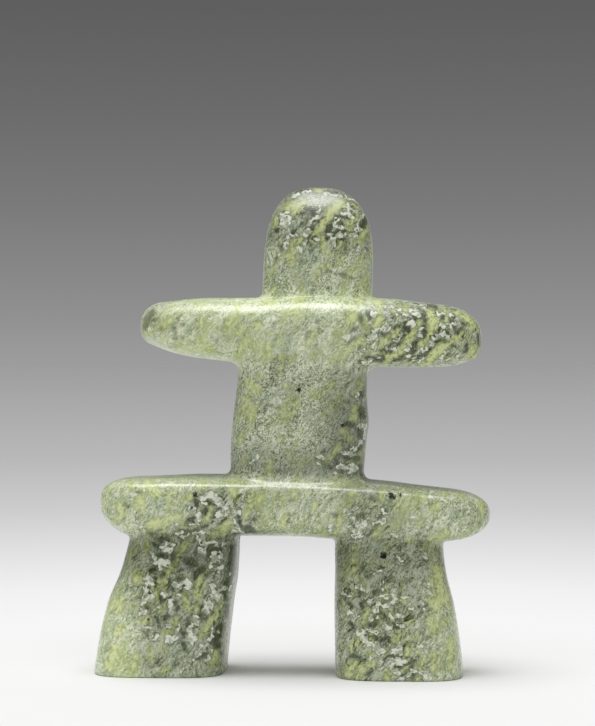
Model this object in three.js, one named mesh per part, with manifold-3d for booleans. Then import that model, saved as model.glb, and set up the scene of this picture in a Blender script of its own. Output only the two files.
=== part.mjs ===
// An inukshuk, a figure of stacked stones, carved from one block of green serpentine:
// two spreading legs, a hip slab, a trunk, an arm slab and a rounded head.
// Lengths are millimetres and +Z is up. The front faces -Y, and +X is to the right of
// someone who looks at the front. The origin is on the ground, under the middle of the hips.

import * as THREE from 'three';
import { mergeVertices } from 'three/addons/utils/BufferGeometryUtils.js';
import Module from 'manifold-3d';

// Driving dimensions. The figure is a pile, so each stone stands on the one below.
const LEG_HEIGHT = 56;
const HIP_THICKNESS = 25;
const TRUNK_HEIGHT = 45.5;
const ARM_THICKNESS = 28.6;
const HEAD_HEIGHT = 45;

const LEFT_LEG_WIDTH = 55.6;
const RIGHT_LEG_WIDTH = 52.6;
const LEG_DEPTH = 49;
const LEG_GAP = 45;
const LEG_GAP_X = -5.2;

const HIP_WIDTH = 161;
const HIP_DEPTH = 44;

const TRUNK_WIDTH = 55.6;
const TRUNK_DEPTH = 36;
const TRUNK_X = 2.2;

const ARM_WIDTH = 141;
const ARM_DEPTH = 42;
const ARM_X = 6.6;

const HEAD_WIDTH = 45.2;
const HEAD_DEPTH = 34;
const HEAD_X = 9.6;

// How far the hollow at each junction spreads over the two stones that meet there.
const LEG_FILLET = 2;
const HIP_FILLET = 4;
const ARM_FILLET = 6;
const HEAD_FILLET = 1.5;

// The lengths over which the free ends round off.
const HIP_LEFT_END = 18;
const HIP_RIGHT_END = 21;
const ARM_LEFT_END = 10;
const ARM_RIGHT_END = 18;
const HEAD_DOME = 35;

// How deep the end of one stone is sunk in the next one, or a leg in the ground.
const SUNK = 10;

// The grid on which the surface is found, and how often its vertices are evened out.
const CELL = 4.3;
const EVENING_ROUNDS = 6;

// Heights of the faces where the stones meet.
const HIP_TOP = LEG_HEIGHT + HIP_THICKNESS;
const ARM_BOTTOM = HIP_TOP + TRUNK_HEIGHT;
const ARM_TOP = ARM_BOTTOM + ARM_THICKNESS;
const HEAD_TOP = ARM_TOP + HEAD_HEIGHT;

// A stone is a rounded bar along X or Z. Its size and its centre are given across the bar,
// in Z or X, and in depth, in Y. Each row of its profile is one section:
//   [place along, shift across, shift in depth, size across, size in depth],
// where the place runs from -1 to 1, and the rest are shares of the stone's size.
// corner and dome are the powers of the superellipses in a section and over the ends:
// 2 is round, and more is squarer. ends are the lengths over which the two ends close.
const LEFT_LEG = {
  along: 'z',
  span: [-SUNK, LEG_HEIGHT + SUNK],
  ends: [SUNK, SUNK],
  size: [LEFT_LEG_WIDTH, LEG_DEPTH],
  centre: [LEG_GAP_X - (LEG_GAP + LEFT_LEG_WIDTH) / 2, 0],
  corner: 3.6,
  dome: 2,
  profile: [
    [-1.0, -0.01, 0.03, 0.97, 1.0],
    [-0.6, 0.01, 0.02, 0.97, 0.99],
    [0.0, 0.075, 0.01, 0.93, 0.95],
    [0.35, 0.14, 0.0, 0.865, 0.89],
    [0.7, 0.18, 0.0, 0.81, 0.8],
    [1.0, 0.19, 0.0, 0.77, 0.76],
  ],
};

const RIGHT_LEG = {
  along: 'z',
  span: [-SUNK, LEG_HEIGHT + SUNK],
  ends: [SUNK, SUNK],
  size: [RIGHT_LEG_WIDTH, LEG_DEPTH],
  centre: [LEG_GAP_X + (LEG_GAP + RIGHT_LEG_WIDTH) / 2, 0],
  corner: 3.6,
  dome: 2,
  profile: [
    [-1.0, -0.005, -0.065, 0.98, 1.0],
    [-0.6, -0.01, -0.065, 0.99, 1.0],
    [0.0, -0.045, -0.05, 0.935, 0.96],
    [0.35, -0.075, -0.03, 0.87, 0.9],
    [0.7, -0.09, 0.0, 0.84, 0.82],
    [1.0, -0.09, 0.0, 0.8, 0.78],
  ],
};

const HIPS = {
  along: 'x',
  span: [-HIP_WIDTH / 2, HIP_WIDTH / 2],
  ends: [HIP_LEFT_END, HIP_RIGHT_END],
  size: [HIP_THICKNESS, HIP_DEPTH],
  centre: [(LEG_HEIGHT + HIP_TOP) / 2, 0],
  corner: 3.8,
  dome: 2.4,
  profile: [
    [-1.0, 0.055, 0.0, 0.91, 0.72],
    [-0.8, -0.02, 0.0, 0.98, 0.87],
    [-0.5, 0.01, 0.0, 1.0, 0.96],
    [0.0, 0.0, 0.0, 0.98, 1.0],
    [0.4, -0.07, 0.0, 0.985, 0.98],
    [0.75, -0.135, 0.0, 0.865, 0.88],
    [1.0, -0.13, 0.0, 0.78, 0.72],
  ],
};

const TRUNK = {
  along: 'z',
  span: [HIP_TOP - SUNK, ARM_BOTTOM + SUNK],
  ends: [SUNK, SUNK],
  size: [TRUNK_WIDTH, TRUNK_DEPTH],
  centre: [TRUNK_X, 0],
  corner: 3.6,
  dome: 2,
  profile: [
    [-1.0, -0.025, 0.01, 0.97, 0.94],
    [-0.3, -0.01, 0.0, 1.0, 0.96],
    [0.3, 0.01, 0.0, 0.97, 1.0],
    [1.0, 0.04, 0.0, 0.92, 1.08],
  ],
};

const ARMS = {
  along: 'x',
  span: [ARM_X - ARM_WIDTH / 2, ARM_X + ARM_WIDTH / 2],
  ends: [ARM_LEFT_END, ARM_RIGHT_END],
  size: [ARM_THICKNESS, ARM_DEPTH],
  centre: [(ARM_BOTTOM + ARM_TOP) / 2, 0],
  corner: 2.4,
  dome: 2.4,
  profile: [
    [-1.0, 0.06, 0.0, 0.63, 0.58],
    [-0.87, 0.06, 0.0, 0.72, 0.73],
    [-0.65, 0.035, 0.0, 0.87, 0.88],
    [-0.3, 0.0, 0.0, 0.965, 0.97],
    [0.03, 0.02, 0.0, 1.05, 1.02],
    [0.38, -0.028, 0.0, 1.0, 1.0],
    [0.5, -0.04, 0.0, 0.992, 0.99],
    [0.75, -0.075, 0.0, 0.91, 0.9],
    [1.0, -0.1, 0.0, 0.84, 0.72],
  ],
};

const HEAD = {
  along: 'z',
  span: [ARM_TOP - SUNK, HEAD_TOP],
  ends: [SUNK, HEAD_DOME],
  size: [HEAD_WIDTH, HEAD_DEPTH],
  centre: [HEAD_X, 0],
  corner: 2.9,
  dome: 2.7,
  profile: [
    [-1.0, -0.02, 0.1, 1.02, 0.84],
    [0.2, 0.01, 0.08, 1.0, 1.0],
    [0.6, 0.01, 0.08, 1.0, 0.88],
    [1.0, 0.0, 0.08, 0.98, 0.55],
  ],
};

// The section of a profile at a place, on a smooth curve through its rows.
function sectionAt(profile, place) {
  const last = profile.length - 1;
  const row = (i) => profile[THREE.MathUtils.clamp(i, 0, last)];
  const next = profile.findIndex(([rowPlace]) => rowPlace > place);
  const i = next < 0 ? last - 1 : Math.max(next - 1, 0);
  const [before, start, end, after] = [row(i - 1), row(i), row(i + 1), row(i + 2)];
  const step = end[0] - start[0];
  const t = THREE.MathUtils.clamp((place - start[0]) / step, 0, 1);
  return [1, 2, 3, 4].map((k) => {
    const slopeIn = (step * (end[k] - before[k])) / (end[0] - before[0]);
    const slopeOut = (step * (after[k] - start[k])) / (after[0] - start[0]);
    const rise = end[k] - start[k];
    const bend = 3 * rise - 2 * slopeIn - slopeOut;
    const twist = slopeIn + slopeOut - 2 * rise;
    return start[k] + t * (slopeIn + t * (bend + t * twist));
  });
}

function powerSum(a, b, power) {
  return (a ** power + b ** power) ** (1 / power);
}

// Roughly the distance from a point to a stone's surface, and negative inside the stone.
function distanceToStone(stone, point) {
  const [low, high] = stone.span;
  const [lowEnd, highEnd] = stone.ends;
  const place = point[stone.along];
  const section = sectionAt(stone.profile, (2 * place - low - high) / (high - low));
  const [shiftAcross, shiftDeep, across, deep] = section.map((s, k) => s * stone.size[k % 2]);
  const offAcross = point[stone.along === 'x' ? 'z' : 'x'] - stone.centre[0] - shiftAcross;
  const offDeep = point.y - stone.centre[1] - shiftDeep;

  const u = Math.abs(offAcross) / (across / 2);
  const v = Math.abs(offDeep) / (deep / 2);
  const ring = Math.max(powerSum(u, v, stone.corner), 1e-6);
  const atHighEnd = place > high - highEnd;
  const closing = atHighEnd ? highEnd : lowEnd;
  const beyond = atHighEnd ? place - high + highEnd : low + lowEnd - place;
  const end = Math.max(beyond / closing, 0);
  const whole = powerSum(ring, end, stone.dome);

  const slopeAcross = (u / ring) ** (stone.corner - 1) / (across / 2);
  const slopeDeep = (v / ring) ** (stone.corner - 1) / (deep / 2);
  const slopeOut = (ring / whole) ** (stone.dome - 1);
  const slopeAlong = (end / whole) ** (stone.dome - 1) / closing;
  return (whole - 1) / Math.hypot(slopeOut * slopeAcross, slopeOut * slopeDeep, slopeAlong);
}

// Joins two distances, with a hollow that reaches so far over both surfaces.
function melt(a, b, reach) {
  const near = Math.max(reach - Math.abs(a - b), 0);
  return Math.min(a, b) - near ** 2 / (4 * reach);
}

// Roughly the distance from a point to the whole figure's surface.
function distanceToFigure(point) {
  const to = (stone) => distanceToStone(stone, point);
  const arms = melt(to(HEAD), to(ARMS), HEAD_FILLET);
  const trunk = melt(arms, to(TRUNK), ARM_FILLET);
  const hips = melt(trunk, to(HIPS), HIP_FILLET);
  return melt(hips, Math.min(to(LEFT_LEG), to(RIGHT_LEG)), LEG_FILLET);
}

// Moves a point straight onto the surface where the distance is zero.
function settle(point, distance) {
  const nudge = 0.05;
  const here = distance(point);
  const slope = new THREE.Vector3();
  for (const axis of ['x', 'y', 'z']) {
    const aside = point.clone();
    aside[axis] += nudge;
    slope[axis] = (distance(aside) - here) / nudge;
  }
  return point.addScaledVector(slope, -here / slope.lengthSq());
}

// The surface where the distance is zero, as quads with one vertex for each grid cell
// that the surface crosses. Returns the vertices and the quads' vertex numbers.
function surfaceNet(distance, box, cell) {
  const size = box.getSize(new THREE.Vector3()).toArray();
  const counts = size.map((length) => Math.ceil(length / cell) + 1);
  const strides = [1, counts[0], counts[0] * counts[1]];
  const values = [];
  const nodes = [];
  for (let k = 0; k < counts[2]; k += 1) {
    for (let j = 0; j < counts[1]; j += 1) {
      for (let i = 0; i < counts[0]; i += 1) {
        const node = new THREE.Vector3(i, j, k).multiplyScalar(cell).add(box.min);
        nodes.push(node);
        values.push(distance(node));
      }
    }
  }

  // A corner of a cell has one bit for each axis, and an edge joins two that differ in one.
  const cornerStep = (corner) => strides.reduce((sum, s, axis) => sum + s * ((corner >> axis) & 1), 0);
  const edges = [0, 1, 2, 3, 4, 5, 6, 7].flatMap((corner) =>
    [1, 2, 4].filter((bit) => !(corner & bit)).map((bit) => [cornerStep(corner), cornerStep(corner | bit)]),
  );
  const vertices = [];
  const vertexOfCell = new Map();
  const vertexIn = (first) => {
    if (!vertexOfCell.has(first)) {
      const vertex = new THREE.Vector3();
      let crossings = 0;
      for (const [a, b] of edges) {
        const [inner, outer] = [values[first + a], values[first + b]];
        if (inner < 0 !== outer < 0) {
          vertex.add(nodes[first + a].clone().lerp(nodes[first + b], inner / (inner - outer)));
          crossings += 1;
        }
      }
      vertexOfCell.set(first, vertices.push(vertex.divideScalar(crossings)) - 1);
    }
    return vertexOfCell.get(first);
  };

  // Each grid edge that the surface crosses gives a quad between the four cells round it.
  const quads = [];
  nodes.forEach((node, first) => {
    strides.forEach((stride, axis) => {
      const place = Math.floor(first / stride) % counts[axis];
      if (place === counts[axis] - 1 || values[first] < 0 === values[first + stride] < 0) return;
      const [side, over] = [strides[(axis + 1) % 3], strides[(axis + 2) % 3]];
      const quad = [first, first - side, first - side - over, first - over].map(vertexIn);
      quads.push(values[first] < 0 ? quad : quad.reverse());
    });
  });
  return { vertices, quads };
}

// Evens out a net's vertices: each goes to the middle of its neighbours and back to the surface.
function evenOut({ vertices, quads }, distance, rounds) {
  const neighbours = vertices.map(() => new Set());
  for (const quad of quads) {
    quad.forEach((vertex, i) => {
      neighbours[vertex].add(quad[(i + 1) % 4]).add(quad[(i + 3) % 4]);
    });
  }
  for (let round = 0; round < rounds; round += 1) {
    const middles = neighbours.map((near) => {
      const middle = new THREE.Vector3();
      for (const i of near) middle.add(vertices[i]);
      return middle.divideScalar(near.size);
    });
    middles.forEach((middle, i) => vertices[i].copy(settle(middle, distance)));
  }
}

// The net's quads as triangles, each cut along its shorter diagonal.
function geometryOf({ vertices, quads }) {
  const index = quads.flatMap(([a, b, c, d]) =>
    vertices[a].distanceTo(vertices[c]) < vertices[b].distanceTo(vertices[d])
      ? [a, b, c, a, c, d]
      : [a, b, d, b, c, d],
  );
  return new THREE.BufferGeometry().setFromPoints(vertices).setIndex(index);
}

// A closed geometry as a manifold-3d solid, and a solid as a geometry.
function solidOf(wasm, geometry) {
  const bare = geometry.clone().deleteAttribute('normal').deleteAttribute('uv');
  const merged = mergeVertices(bare);
  return new wasm.Manifold(
    new wasm.Mesh({
      numProp: 3,
      vertProperties: merged.attributes.position.array,
      triVerts: new Uint32Array(merged.index.array),
    }),
  );
}

function geometryOfSolid(solid) {
  const mesh = solid.getMesh();
  return new THREE.BufferGeometry()
    .setAttribute('position', new THREE.BufferAttribute(mesh.vertProperties, 3))
    .setIndex(new THREE.BufferAttribute(mesh.triVerts, 1));
}

// The box that holds a stone.
function boxOf({ along, span, size, centre, profile }) {
  const reach = (k) => size[k] * Math.max(...profile.map((row) => Math.abs(row[k + 1]) + row[k + 3] / 2));
  const middle = (span[0] + span[1]) / 2;
  const halfSpan = (span[1] - span[0]) / 2;
  const [x, z, halfX, halfZ] =
    along === 'x' ? [middle, centre[0], halfSpan, reach(0)] : [centre[0], middle, reach(0), halfSpan];
  return new THREE.Box3(
    new THREE.Vector3(x - halfX, centre[1] - reach(1), z - halfZ),
    new THREE.Vector3(x + halfX, centre[1] + reach(1), z + halfZ),
  );
}

// The ground under the figure, from which the soles are cut flat.
function groundBlock(box) {
  const size = box.getSize(new THREE.Vector3());
  const depth = -box.min.z;
  return new THREE.BoxGeometry(size.x, size.y, depth).translate(0, 0, -depth / 2);
}

const wasm = await Module();
wasm.setup();

const stones = [LEFT_LEG, RIGHT_LEG, HIPS, TRUNK, ARMS, HEAD];
const box = stones.reduce((sum, stone) => sum.union(boxOf(stone)), new THREE.Box3()).expandByScalar(CELL);
const net = surfaceNet(distanceToFigure, box, CELL);
evenOut(net, distanceToFigure, EVENING_ROUNDS);
const carved = solidOf(wasm, geometryOf(net)).subtract(solidOf(wasm, groundBlock(box)));

const serpentine = new THREE.MeshStandardMaterial({ color: 0x93a27a, roughness: 0.3, metalness: 0 });
const carving = new THREE.Mesh(geometryOfSolid(carved), serpentine);
carving.name = 'inukshuk_carving';

const figure = new THREE.Group();
figure.add(carving);

export default figure;
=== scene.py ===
"""An inukshuk carved from one block of green serpentine and polished.

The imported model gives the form. This script lays a finer skin over it, from the same sizes and
sections, and adds what a coarse solid can't hold: crisp hollows between the stones, the waver of
hand polishing, pits, soft swellings, and the mottled stone itself. Lengths are in metres, and the
front faces -Y.
"""

import math

import bmesh
import bpy
import numpy as np
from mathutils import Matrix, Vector, noise


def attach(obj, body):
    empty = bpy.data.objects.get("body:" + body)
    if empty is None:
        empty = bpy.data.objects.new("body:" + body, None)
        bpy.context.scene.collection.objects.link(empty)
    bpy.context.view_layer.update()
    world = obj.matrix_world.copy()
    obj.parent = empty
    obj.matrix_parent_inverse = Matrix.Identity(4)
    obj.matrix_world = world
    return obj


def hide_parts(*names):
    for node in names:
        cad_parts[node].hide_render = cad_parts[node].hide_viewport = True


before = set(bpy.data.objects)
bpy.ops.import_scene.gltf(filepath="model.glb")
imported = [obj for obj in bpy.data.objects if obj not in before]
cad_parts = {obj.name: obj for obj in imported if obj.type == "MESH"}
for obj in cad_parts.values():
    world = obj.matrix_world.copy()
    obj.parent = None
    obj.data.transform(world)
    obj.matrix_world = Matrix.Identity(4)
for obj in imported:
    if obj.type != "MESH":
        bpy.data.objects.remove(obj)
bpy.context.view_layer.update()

MM = 0.001

# The form. These sizes and sections are the solid's own.

LEG_HEIGHT = 56 * MM
HIP_THICKNESS = 25 * MM
TRUNK_HEIGHT = 45.5 * MM
ARM_THICKNESS = 28.6 * MM
HEAD_HEIGHT = 45 * MM

LEFT_LEG_WIDTH = 55.6 * MM
RIGHT_LEG_WIDTH = 52.6 * MM
LEG_DEPTH = 49 * MM
LEG_GAP = 45 * MM
LEG_GAP_X = -5.2 * MM

HIP_WIDTH = 161 * MM
HIP_DEPTH = 44 * MM

TRUNK_WIDTH = 55.6 * MM
TRUNK_DEPTH = 36 * MM
TRUNK_X = 2.2 * MM

ARM_WIDTH = 141 * MM
ARM_DEPTH = 42 * MM
ARM_X = 6.6 * MM

HEAD_WIDTH = 45.2 * MM
HEAD_DEPTH = 34 * MM
HEAD_X = 9.6 * MM

LEG_FILLET = 2 * MM
HIP_FILLET = 4 * MM
ARM_FILLET = 6 * MM
HEAD_FILLET = 1.5 * MM
SOLE_ROUNDING = 1.2 * MM

# The lengths over which the free ends round off.
HIP_LEFT_END = 18 * MM
HIP_RIGHT_END = 21 * MM
ARM_LEFT_END = 10 * MM
ARM_RIGHT_END = 18 * MM
HEAD_DOME = 35 * MM

# How far an upright stone reaches into the next one, and the legs below the ground.
SUNK = 10 * MM

HIP_TOP = LEG_HEIGHT + HIP_THICKNESS
ARM_BOTTOM = HIP_TOP + TRUNK_HEIGHT
ARM_TOP = ARM_BOTTOM + ARM_THICKNESS
HEAD_TOP = ARM_TOP + HEAD_HEIGHT

X, Y, Z = range(3)

# Keeps the slopes finite on a bar's own axis.
LEAST_RING = 1e-6


class Stone:
    """A rounded bar along X or Z. Each row of its profile is one section:
    place along from -1 to 1, shift across, shift in depth, size across, size in depth."""

    def __init__(self, along, span, ends, size, centre, corner, dome, profile):
        self.along = along
        self.across = X + Z - along
        self.span = span
        self.ends = ends
        self.size = size
        self.centre = centre
        self.corner = corner
        self.dome = dome
        self.profile = np.array(profile)

    def section(self, place):
        """The sections at many places, on a smooth curve through the profile's rows."""
        rows = self.profile
        last = len(rows) - 1
        first = np.clip(np.searchsorted(rows[:, 0], place, side="right") - 1, 0, last - 1)
        before, start, end, after = (rows[np.clip(first + k, 0, last)] for k in (-1, 0, 1, 2))
        step = end[:, :1] - start[:, :1]
        t = np.clip((place[:, None] - start[:, :1]) / step, 0, 1)
        slope_in = step * (end - before) / (end[:, :1] - before[:, :1])
        slope_out = step * (after - start) / (after[:, :1] - start[:, :1])
        rise = end - start
        bend = 3 * rise - 2 * slope_in - slope_out
        twist = slope_in + slope_out - 2 * rise
        return (start + t * (slope_in + t * (bend + t * twist)))[:, 1:].T

    def distance(self, points):
        """Roughly the distance from each point to the stone's surface, negative inside."""
        low, high = self.span
        place = points[:, self.along]
        shares = self.section((2 * place - low - high) / (high - low))
        shift_across, shift_deep, across, deep = shares * np.array(self.size * 2)[:, None]
        u = np.abs(points[:, self.across] - self.centre - shift_across) / (across / 2)
        v = np.abs(points[:, Y] - shift_deep) / (deep / 2)
        ring = np.maximum(power_sum(u, v, self.corner), LEAST_RING)
        at_high_end = place > high - self.ends[1]
        closing = np.where(at_high_end, self.ends[1], self.ends[0])
        beyond = np.where(at_high_end, place - high + self.ends[1], low + self.ends[0] - place)
        end = np.maximum(beyond / closing, 0)
        whole = power_sum(ring, end, self.dome)
        slope_across = (u / ring) ** (self.corner - 1) / (across / 2)
        slope_deep = (v / ring) ** (self.corner - 1) / (deep / 2)
        slope_out = (ring / whole) ** (self.dome - 1)
        slope_along = (end / whole) ** (self.dome - 1) / closing
        steep = np.sqrt((slope_out * slope_across) ** 2 + (slope_out * slope_deep) ** 2 + slope_along**2)
        return (whole - 1) / steep


def power_sum(a, b, power):
    return (a**power + b**power) ** (1 / power)


LEFT_LEG = Stone(
    along=Z,
    span=(-SUNK, LEG_HEIGHT + SUNK),
    ends=(SUNK, SUNK),
    size=(LEFT_LEG_WIDTH, LEG_DEPTH),
    centre=LEG_GAP_X - (LEG_GAP + LEFT_LEG_WIDTH) / 2,
    corner=3.6,
    dome=2,
    profile=[
        (-1.0, -0.01, 0.03, 0.97, 1.0),
        (-0.6, 0.01, 0.02, 0.97, 0.99),
        (0.0, 0.075, 0.01, 0.93, 0.95),
        (0.35, 0.14, 0.0, 0.865, 0.89),
        (0.7, 0.18, 0.0, 0.81, 0.8),
        (1.0, 0.19, 0.0, 0.77, 0.76),
    ],
)

RIGHT_LEG = Stone(
    along=Z,
    span=(-SUNK, LEG_HEIGHT + SUNK),
    ends=(SUNK, SUNK),
    size=(RIGHT_LEG_WIDTH, LEG_DEPTH),
    centre=LEG_GAP_X + (LEG_GAP + RIGHT_LEG_WIDTH) / 2,
    corner=3.6,
    dome=2,
    profile=[
        (-1.0, -0.005, -0.065, 0.98, 1.0),
        (-0.6, -0.01, -0.065, 0.99, 1.0),
        (0.0, -0.045, -0.05, 0.935, 0.96),
        (0.35, -0.075, -0.03, 0.87, 0.9),
        (0.7, -0.09, 0.0, 0.84, 0.82),
        (1.0, -0.09, 0.0, 0.8, 0.78),
    ],
)

HIPS = Stone(
    along=X,
    span=(-HIP_WIDTH / 2, HIP_WIDTH / 2),
    ends=(HIP_LEFT_END, HIP_RIGHT_END),
    size=(HIP_THICKNESS, HIP_DEPTH),
    centre=(LEG_HEIGHT + HIP_TOP) / 2,
    corner=3.8,
    dome=2.4,
    profile=[
        (-1.0, 0.055, 0.0, 0.91, 0.72),
        (-0.8, -0.02, 0.0, 0.98, 0.87),
        (-0.5, 0.01, 0.0, 1.0, 0.96),
        (0.0, 0.0, 0.0, 0.98, 1.0),
        (0.4, -0.07, 0.0, 0.985, 0.98),
        (0.75, -0.135, 0.0, 0.865, 0.88),
        (1.0, -0.13, 0.0, 0.78, 0.72),
    ],
)

TRUNK = Stone(
    along=Z,
    span=(HIP_TOP - SUNK, ARM_BOTTOM + SUNK),
    ends=(SUNK, SUNK),
    size=(TRUNK_WIDTH, TRUNK_DEPTH),
    centre=TRUNK_X,
    corner=3.6,
    dome=2,
    profile=[
        (-1.0, -0.025, 0.01, 0.97, 0.94),
        (-0.3, -0.01, 0.0, 1.0, 0.96),
        (0.3, 0.01, 0.0, 0.97, 1.0),
        (1.0, 0.04, 0.0, 0.92, 1.08),
    ],
)

ARMS = Stone(
    along=X,
    span=(ARM_X - ARM_WIDTH / 2, ARM_X + ARM_WIDTH / 2),
    ends=(ARM_LEFT_END, ARM_RIGHT_END),
    size=(ARM_THICKNESS, ARM_DEPTH),
    centre=(ARM_BOTTOM + ARM_TOP) / 2,
    corner=2.4,
    dome=2.4,
    profile=[
        (-1.0, 0.06, 0.0, 0.63, 0.58),
        (-0.87, 0.06, 0.0, 0.72, 0.73),
        (-0.65, 0.035, 0.0, 0.87, 0.88),
        (-0.3, 0.0, 0.0, 0.965, 0.97),
        (0.03, 0.02, 0.0, 1.05, 1.02),
        (0.38, -0.028, 0.0, 1.0, 1.0),
        (0.5, -0.04, 0.0, 0.992, 0.99),
        (0.75, -0.075, 0.0, 0.91, 0.9),
        (1.0, -0.1, 0.0, 0.84, 0.72),
    ],
)

HEAD = Stone(
    along=Z,
    span=(ARM_TOP - SUNK, HEAD_TOP),
    ends=(SUNK, HEAD_DOME),
    size=(HEAD_WIDTH, HEAD_DEPTH),
    centre=HEAD_X,
    corner=2.9,
    dome=2.7,
    profile=[
        (-1.0, -0.02, 0.1, 1.02, 0.84),
        (0.2, 0.01, 0.08, 1.0, 1.0),
        (0.6, 0.01, 0.08, 1.0, 0.88),
        (1.0, 0.0, 0.08, 0.98, 0.55),
    ],
)


def melt(a, b, reach):
    """Joins two distances, with a hollow that reaches so far over both surfaces."""
    near = np.maximum(reach - np.abs(a - b), 0)
    return np.minimum(a, b) - near**2 / (4 * reach)


def distance_to_figure(points):
    arms = melt(HEAD.distance(points), ARMS.distance(points), HEAD_FILLET)
    trunk = melt(arms, TRUNK.distance(points), ARM_FILLET)
    hips = melt(trunk, HIPS.distance(points), HIP_FILLET)
    legs = np.minimum(LEFT_LEG.distance(points), RIGHT_LEG.distance(points))
    standing = melt(hips, legs, LEG_FILLET)
    return -melt(-standing, points[:, Z], SOLE_ROUNDING)


def slope_of(distance, points):
    """The direction in which the distance grows, at each point."""
    nudge = 0.05 * MM
    here = distance(points)
    slope = np.empty_like(points)
    for axis in (X, Y, Z):
        aside = points.copy()
        aside[:, axis] += nudge
        slope[:, axis] = (distance(aside) - here) / nudge
    return here, slope


def settle(points, rounds=2):
    """Moves points straight onto the figure's surface."""
    for _ in range(rounds):
        here, slope = slope_of(distance_to_figure, points)
        points = points - slope * (here / (slope**2).sum(1))[:, None]
    return points


# The skin: an even mesh on the figure's surface, finest in front and around the pits.

SKIN_CELL = 1.36 * MM
# Faces whose normals have a smaller Y than this look to the front, and are made finer.
LOOKS_FORWARD = -0.05
# How far around a pit the mesh is finer still, in millimetres.
PIT_MARGIN = 1.5
# A pit's depth as a share of its radius.
PIT_DEPTH = 1.1
WAVER_SIZE = 11 * MM
WAVER_DEPTH = 0.16 * MM
# How far the waver's middle lies below the solid's surface, as a share of its depth.
WAVER_SINKING = 0.5
# Points whose normals have a larger Y than this are on the back, where nothing swells.
BACK_FACING = 0.6
# The height over which the relief fades out towards the soles, which stay flat.
SOLE_FADE = 3 * MM


def points_of(mesh):
    flat = np.empty(len(mesh.vertices) * 3)
    mesh.vertices.foreach_get("co", flat)
    return flat.reshape(-1, 3)


def normals_of(mesh):
    flat = np.empty(len(mesh.vertices) * 3)
    mesh.vertex_normals.foreach_get("vector", flat)
    return flat.reshape(-1, 3)


def set_points(mesh, points):
    mesh.vertices.foreach_set("co", np.asarray(points, dtype=float).ravel())
    mesh.update()


def make_skin(node):
    """A fine mesh of the node's solid, drawn onto the exact surface."""
    rough = bpy.data.objects.new("rough", node.data.copy())
    bpy.context.scene.collection.objects.link(rough)
    remesh = rough.modifiers.new("even", "REMESH")
    remesh.mode = "VOXEL"
    remesh.voxel_size = SKIN_CELL
    bpy.context.view_layer.update()
    mesh = bpy.data.meshes.new_from_object(rough.evaluated_get(bpy.context.evaluated_depsgraph_get()))
    bpy.data.objects.remove(rough)
    set_points(mesh, settle(even_out(mesh, settle(points_of(mesh)))))
    refine(mesh, lambda face: face.normal.y < LOOKS_FORWARD)
    refine(mesh, near_a_pit)
    return mesh


def even_out(mesh, points):
    """Each point goes half way to the middle of its neighbours."""
    edges = np.empty(len(mesh.edges) * 2, dtype=int)
    mesh.edges.foreach_get("vertices", edges)
    a, b = edges.reshape(-1, 2).T
    total = np.zeros_like(points)
    count = np.zeros(len(points))
    for start, end in ((a, b), (b, a)):
        np.add.at(total, start, points[end])
        np.add.at(count, start, 1)
    return (points + total / count[:, None]) / 2


def refine(mesh, wanted):
    """Cuts the wanted faces in four and draws the new points onto the surface."""
    builder = bmesh.new()
    builder.from_mesh(mesh)
    edges = {edge for face in builder.faces if wanted(face) for edge in face.edges}
    bmesh.ops.subdivide_edges(builder, edges=list(edges), cuts=1, use_grid_fill=True)
    builder.to_mesh(mesh)
    builder.free()
    set_points(mesh, settle(points_of(mesh)))


def near_a_pit(face):
    centre = face.calc_center_median() / MM
    place = (centre.x, centre.z)
    return face.normal.y < 0 and any(math.dist(place, pit) < radius + PIT_MARGIN for pit, radius in PITS)


def sink(mesh):
    """The waver of hand polishing, the pits, and the soft swellings and hollows."""
    points = points_of(mesh)
    normals = normals_of(mesh)
    waver = np.array([noise.noise(Vector(p / WAVER_SIZE)) for p in points])
    depth = WAVER_DEPTH * (waver + WAVER_SINKING)
    x, z = points[:, X] / MM, points[:, Z] / MM
    for (pit_x, pit_z), radius in PITS:
        off = np.minimum(np.hypot(x - pit_x, z - pit_z) / radius, 1)
        depth += np.where(normals[:, Y] < 0, PIT_DEPTH * radius * MM * (1 - off**2) ** 2, 0)
    for place_x, place_z, across, up, height in SWELLINGS:
        near = np.exp(-(((x - place_x) / across) ** 2) - ((z - place_z) / up) ** 2)
        depth -= np.where(normals[:, Y] < BACK_FACING, height * MM * near, 0)
    standing = np.clip(points[:, Z] / SOLE_FADE, 0, 1)
    set_points(mesh, points - normals * (depth * standing)[:, None])


# The camera stands where the photograph was taken from.

PICTURE_LONG_SIDE = 726
CAMERA_DISTANCE = 0.9
CAMERA_HEIGHT = 0.13
CAMERA_ROUND = math.radians(3)
SENSOR = 36.0
# In pixels of the photograph: a metre at the figure, and where its axis and the horizon lie.
PIXELS_PER_METRE = 2417.5
AXIS_RIGHT_OF_CENTRE = -2.8
HORIZON_ABOVE_CENTRE = 6.3


def add_camera():
    data = bpy.data.cameras.new("camera")
    data.sensor_width = SENSOR
    data.lens = SENSOR * PIXELS_PER_METRE * CAMERA_DISTANCE / PICTURE_LONG_SIDE
    data.shift_x = -AXIS_RIGHT_OF_CENTRE / PICTURE_LONG_SIDE
    data.shift_y = -HORIZON_ABOVE_CENTRE / PICTURE_LONG_SIDE
    camera = bpy.data.objects.new("camera", data)
    camera.location = (
        CAMERA_DISTANCE * math.sin(CAMERA_ROUND),
        -CAMERA_DISTANCE * math.cos(CAMERA_ROUND),
        CAMERA_HEIGHT,
    )
    camera.rotation_euler = (math.radians(90), 0, CAMERA_ROUND)
    bpy.context.scene.collection.objects.link(camera)
    bpy.context.scene.camera = camera


# A node graph, built in plain calls.


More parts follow.
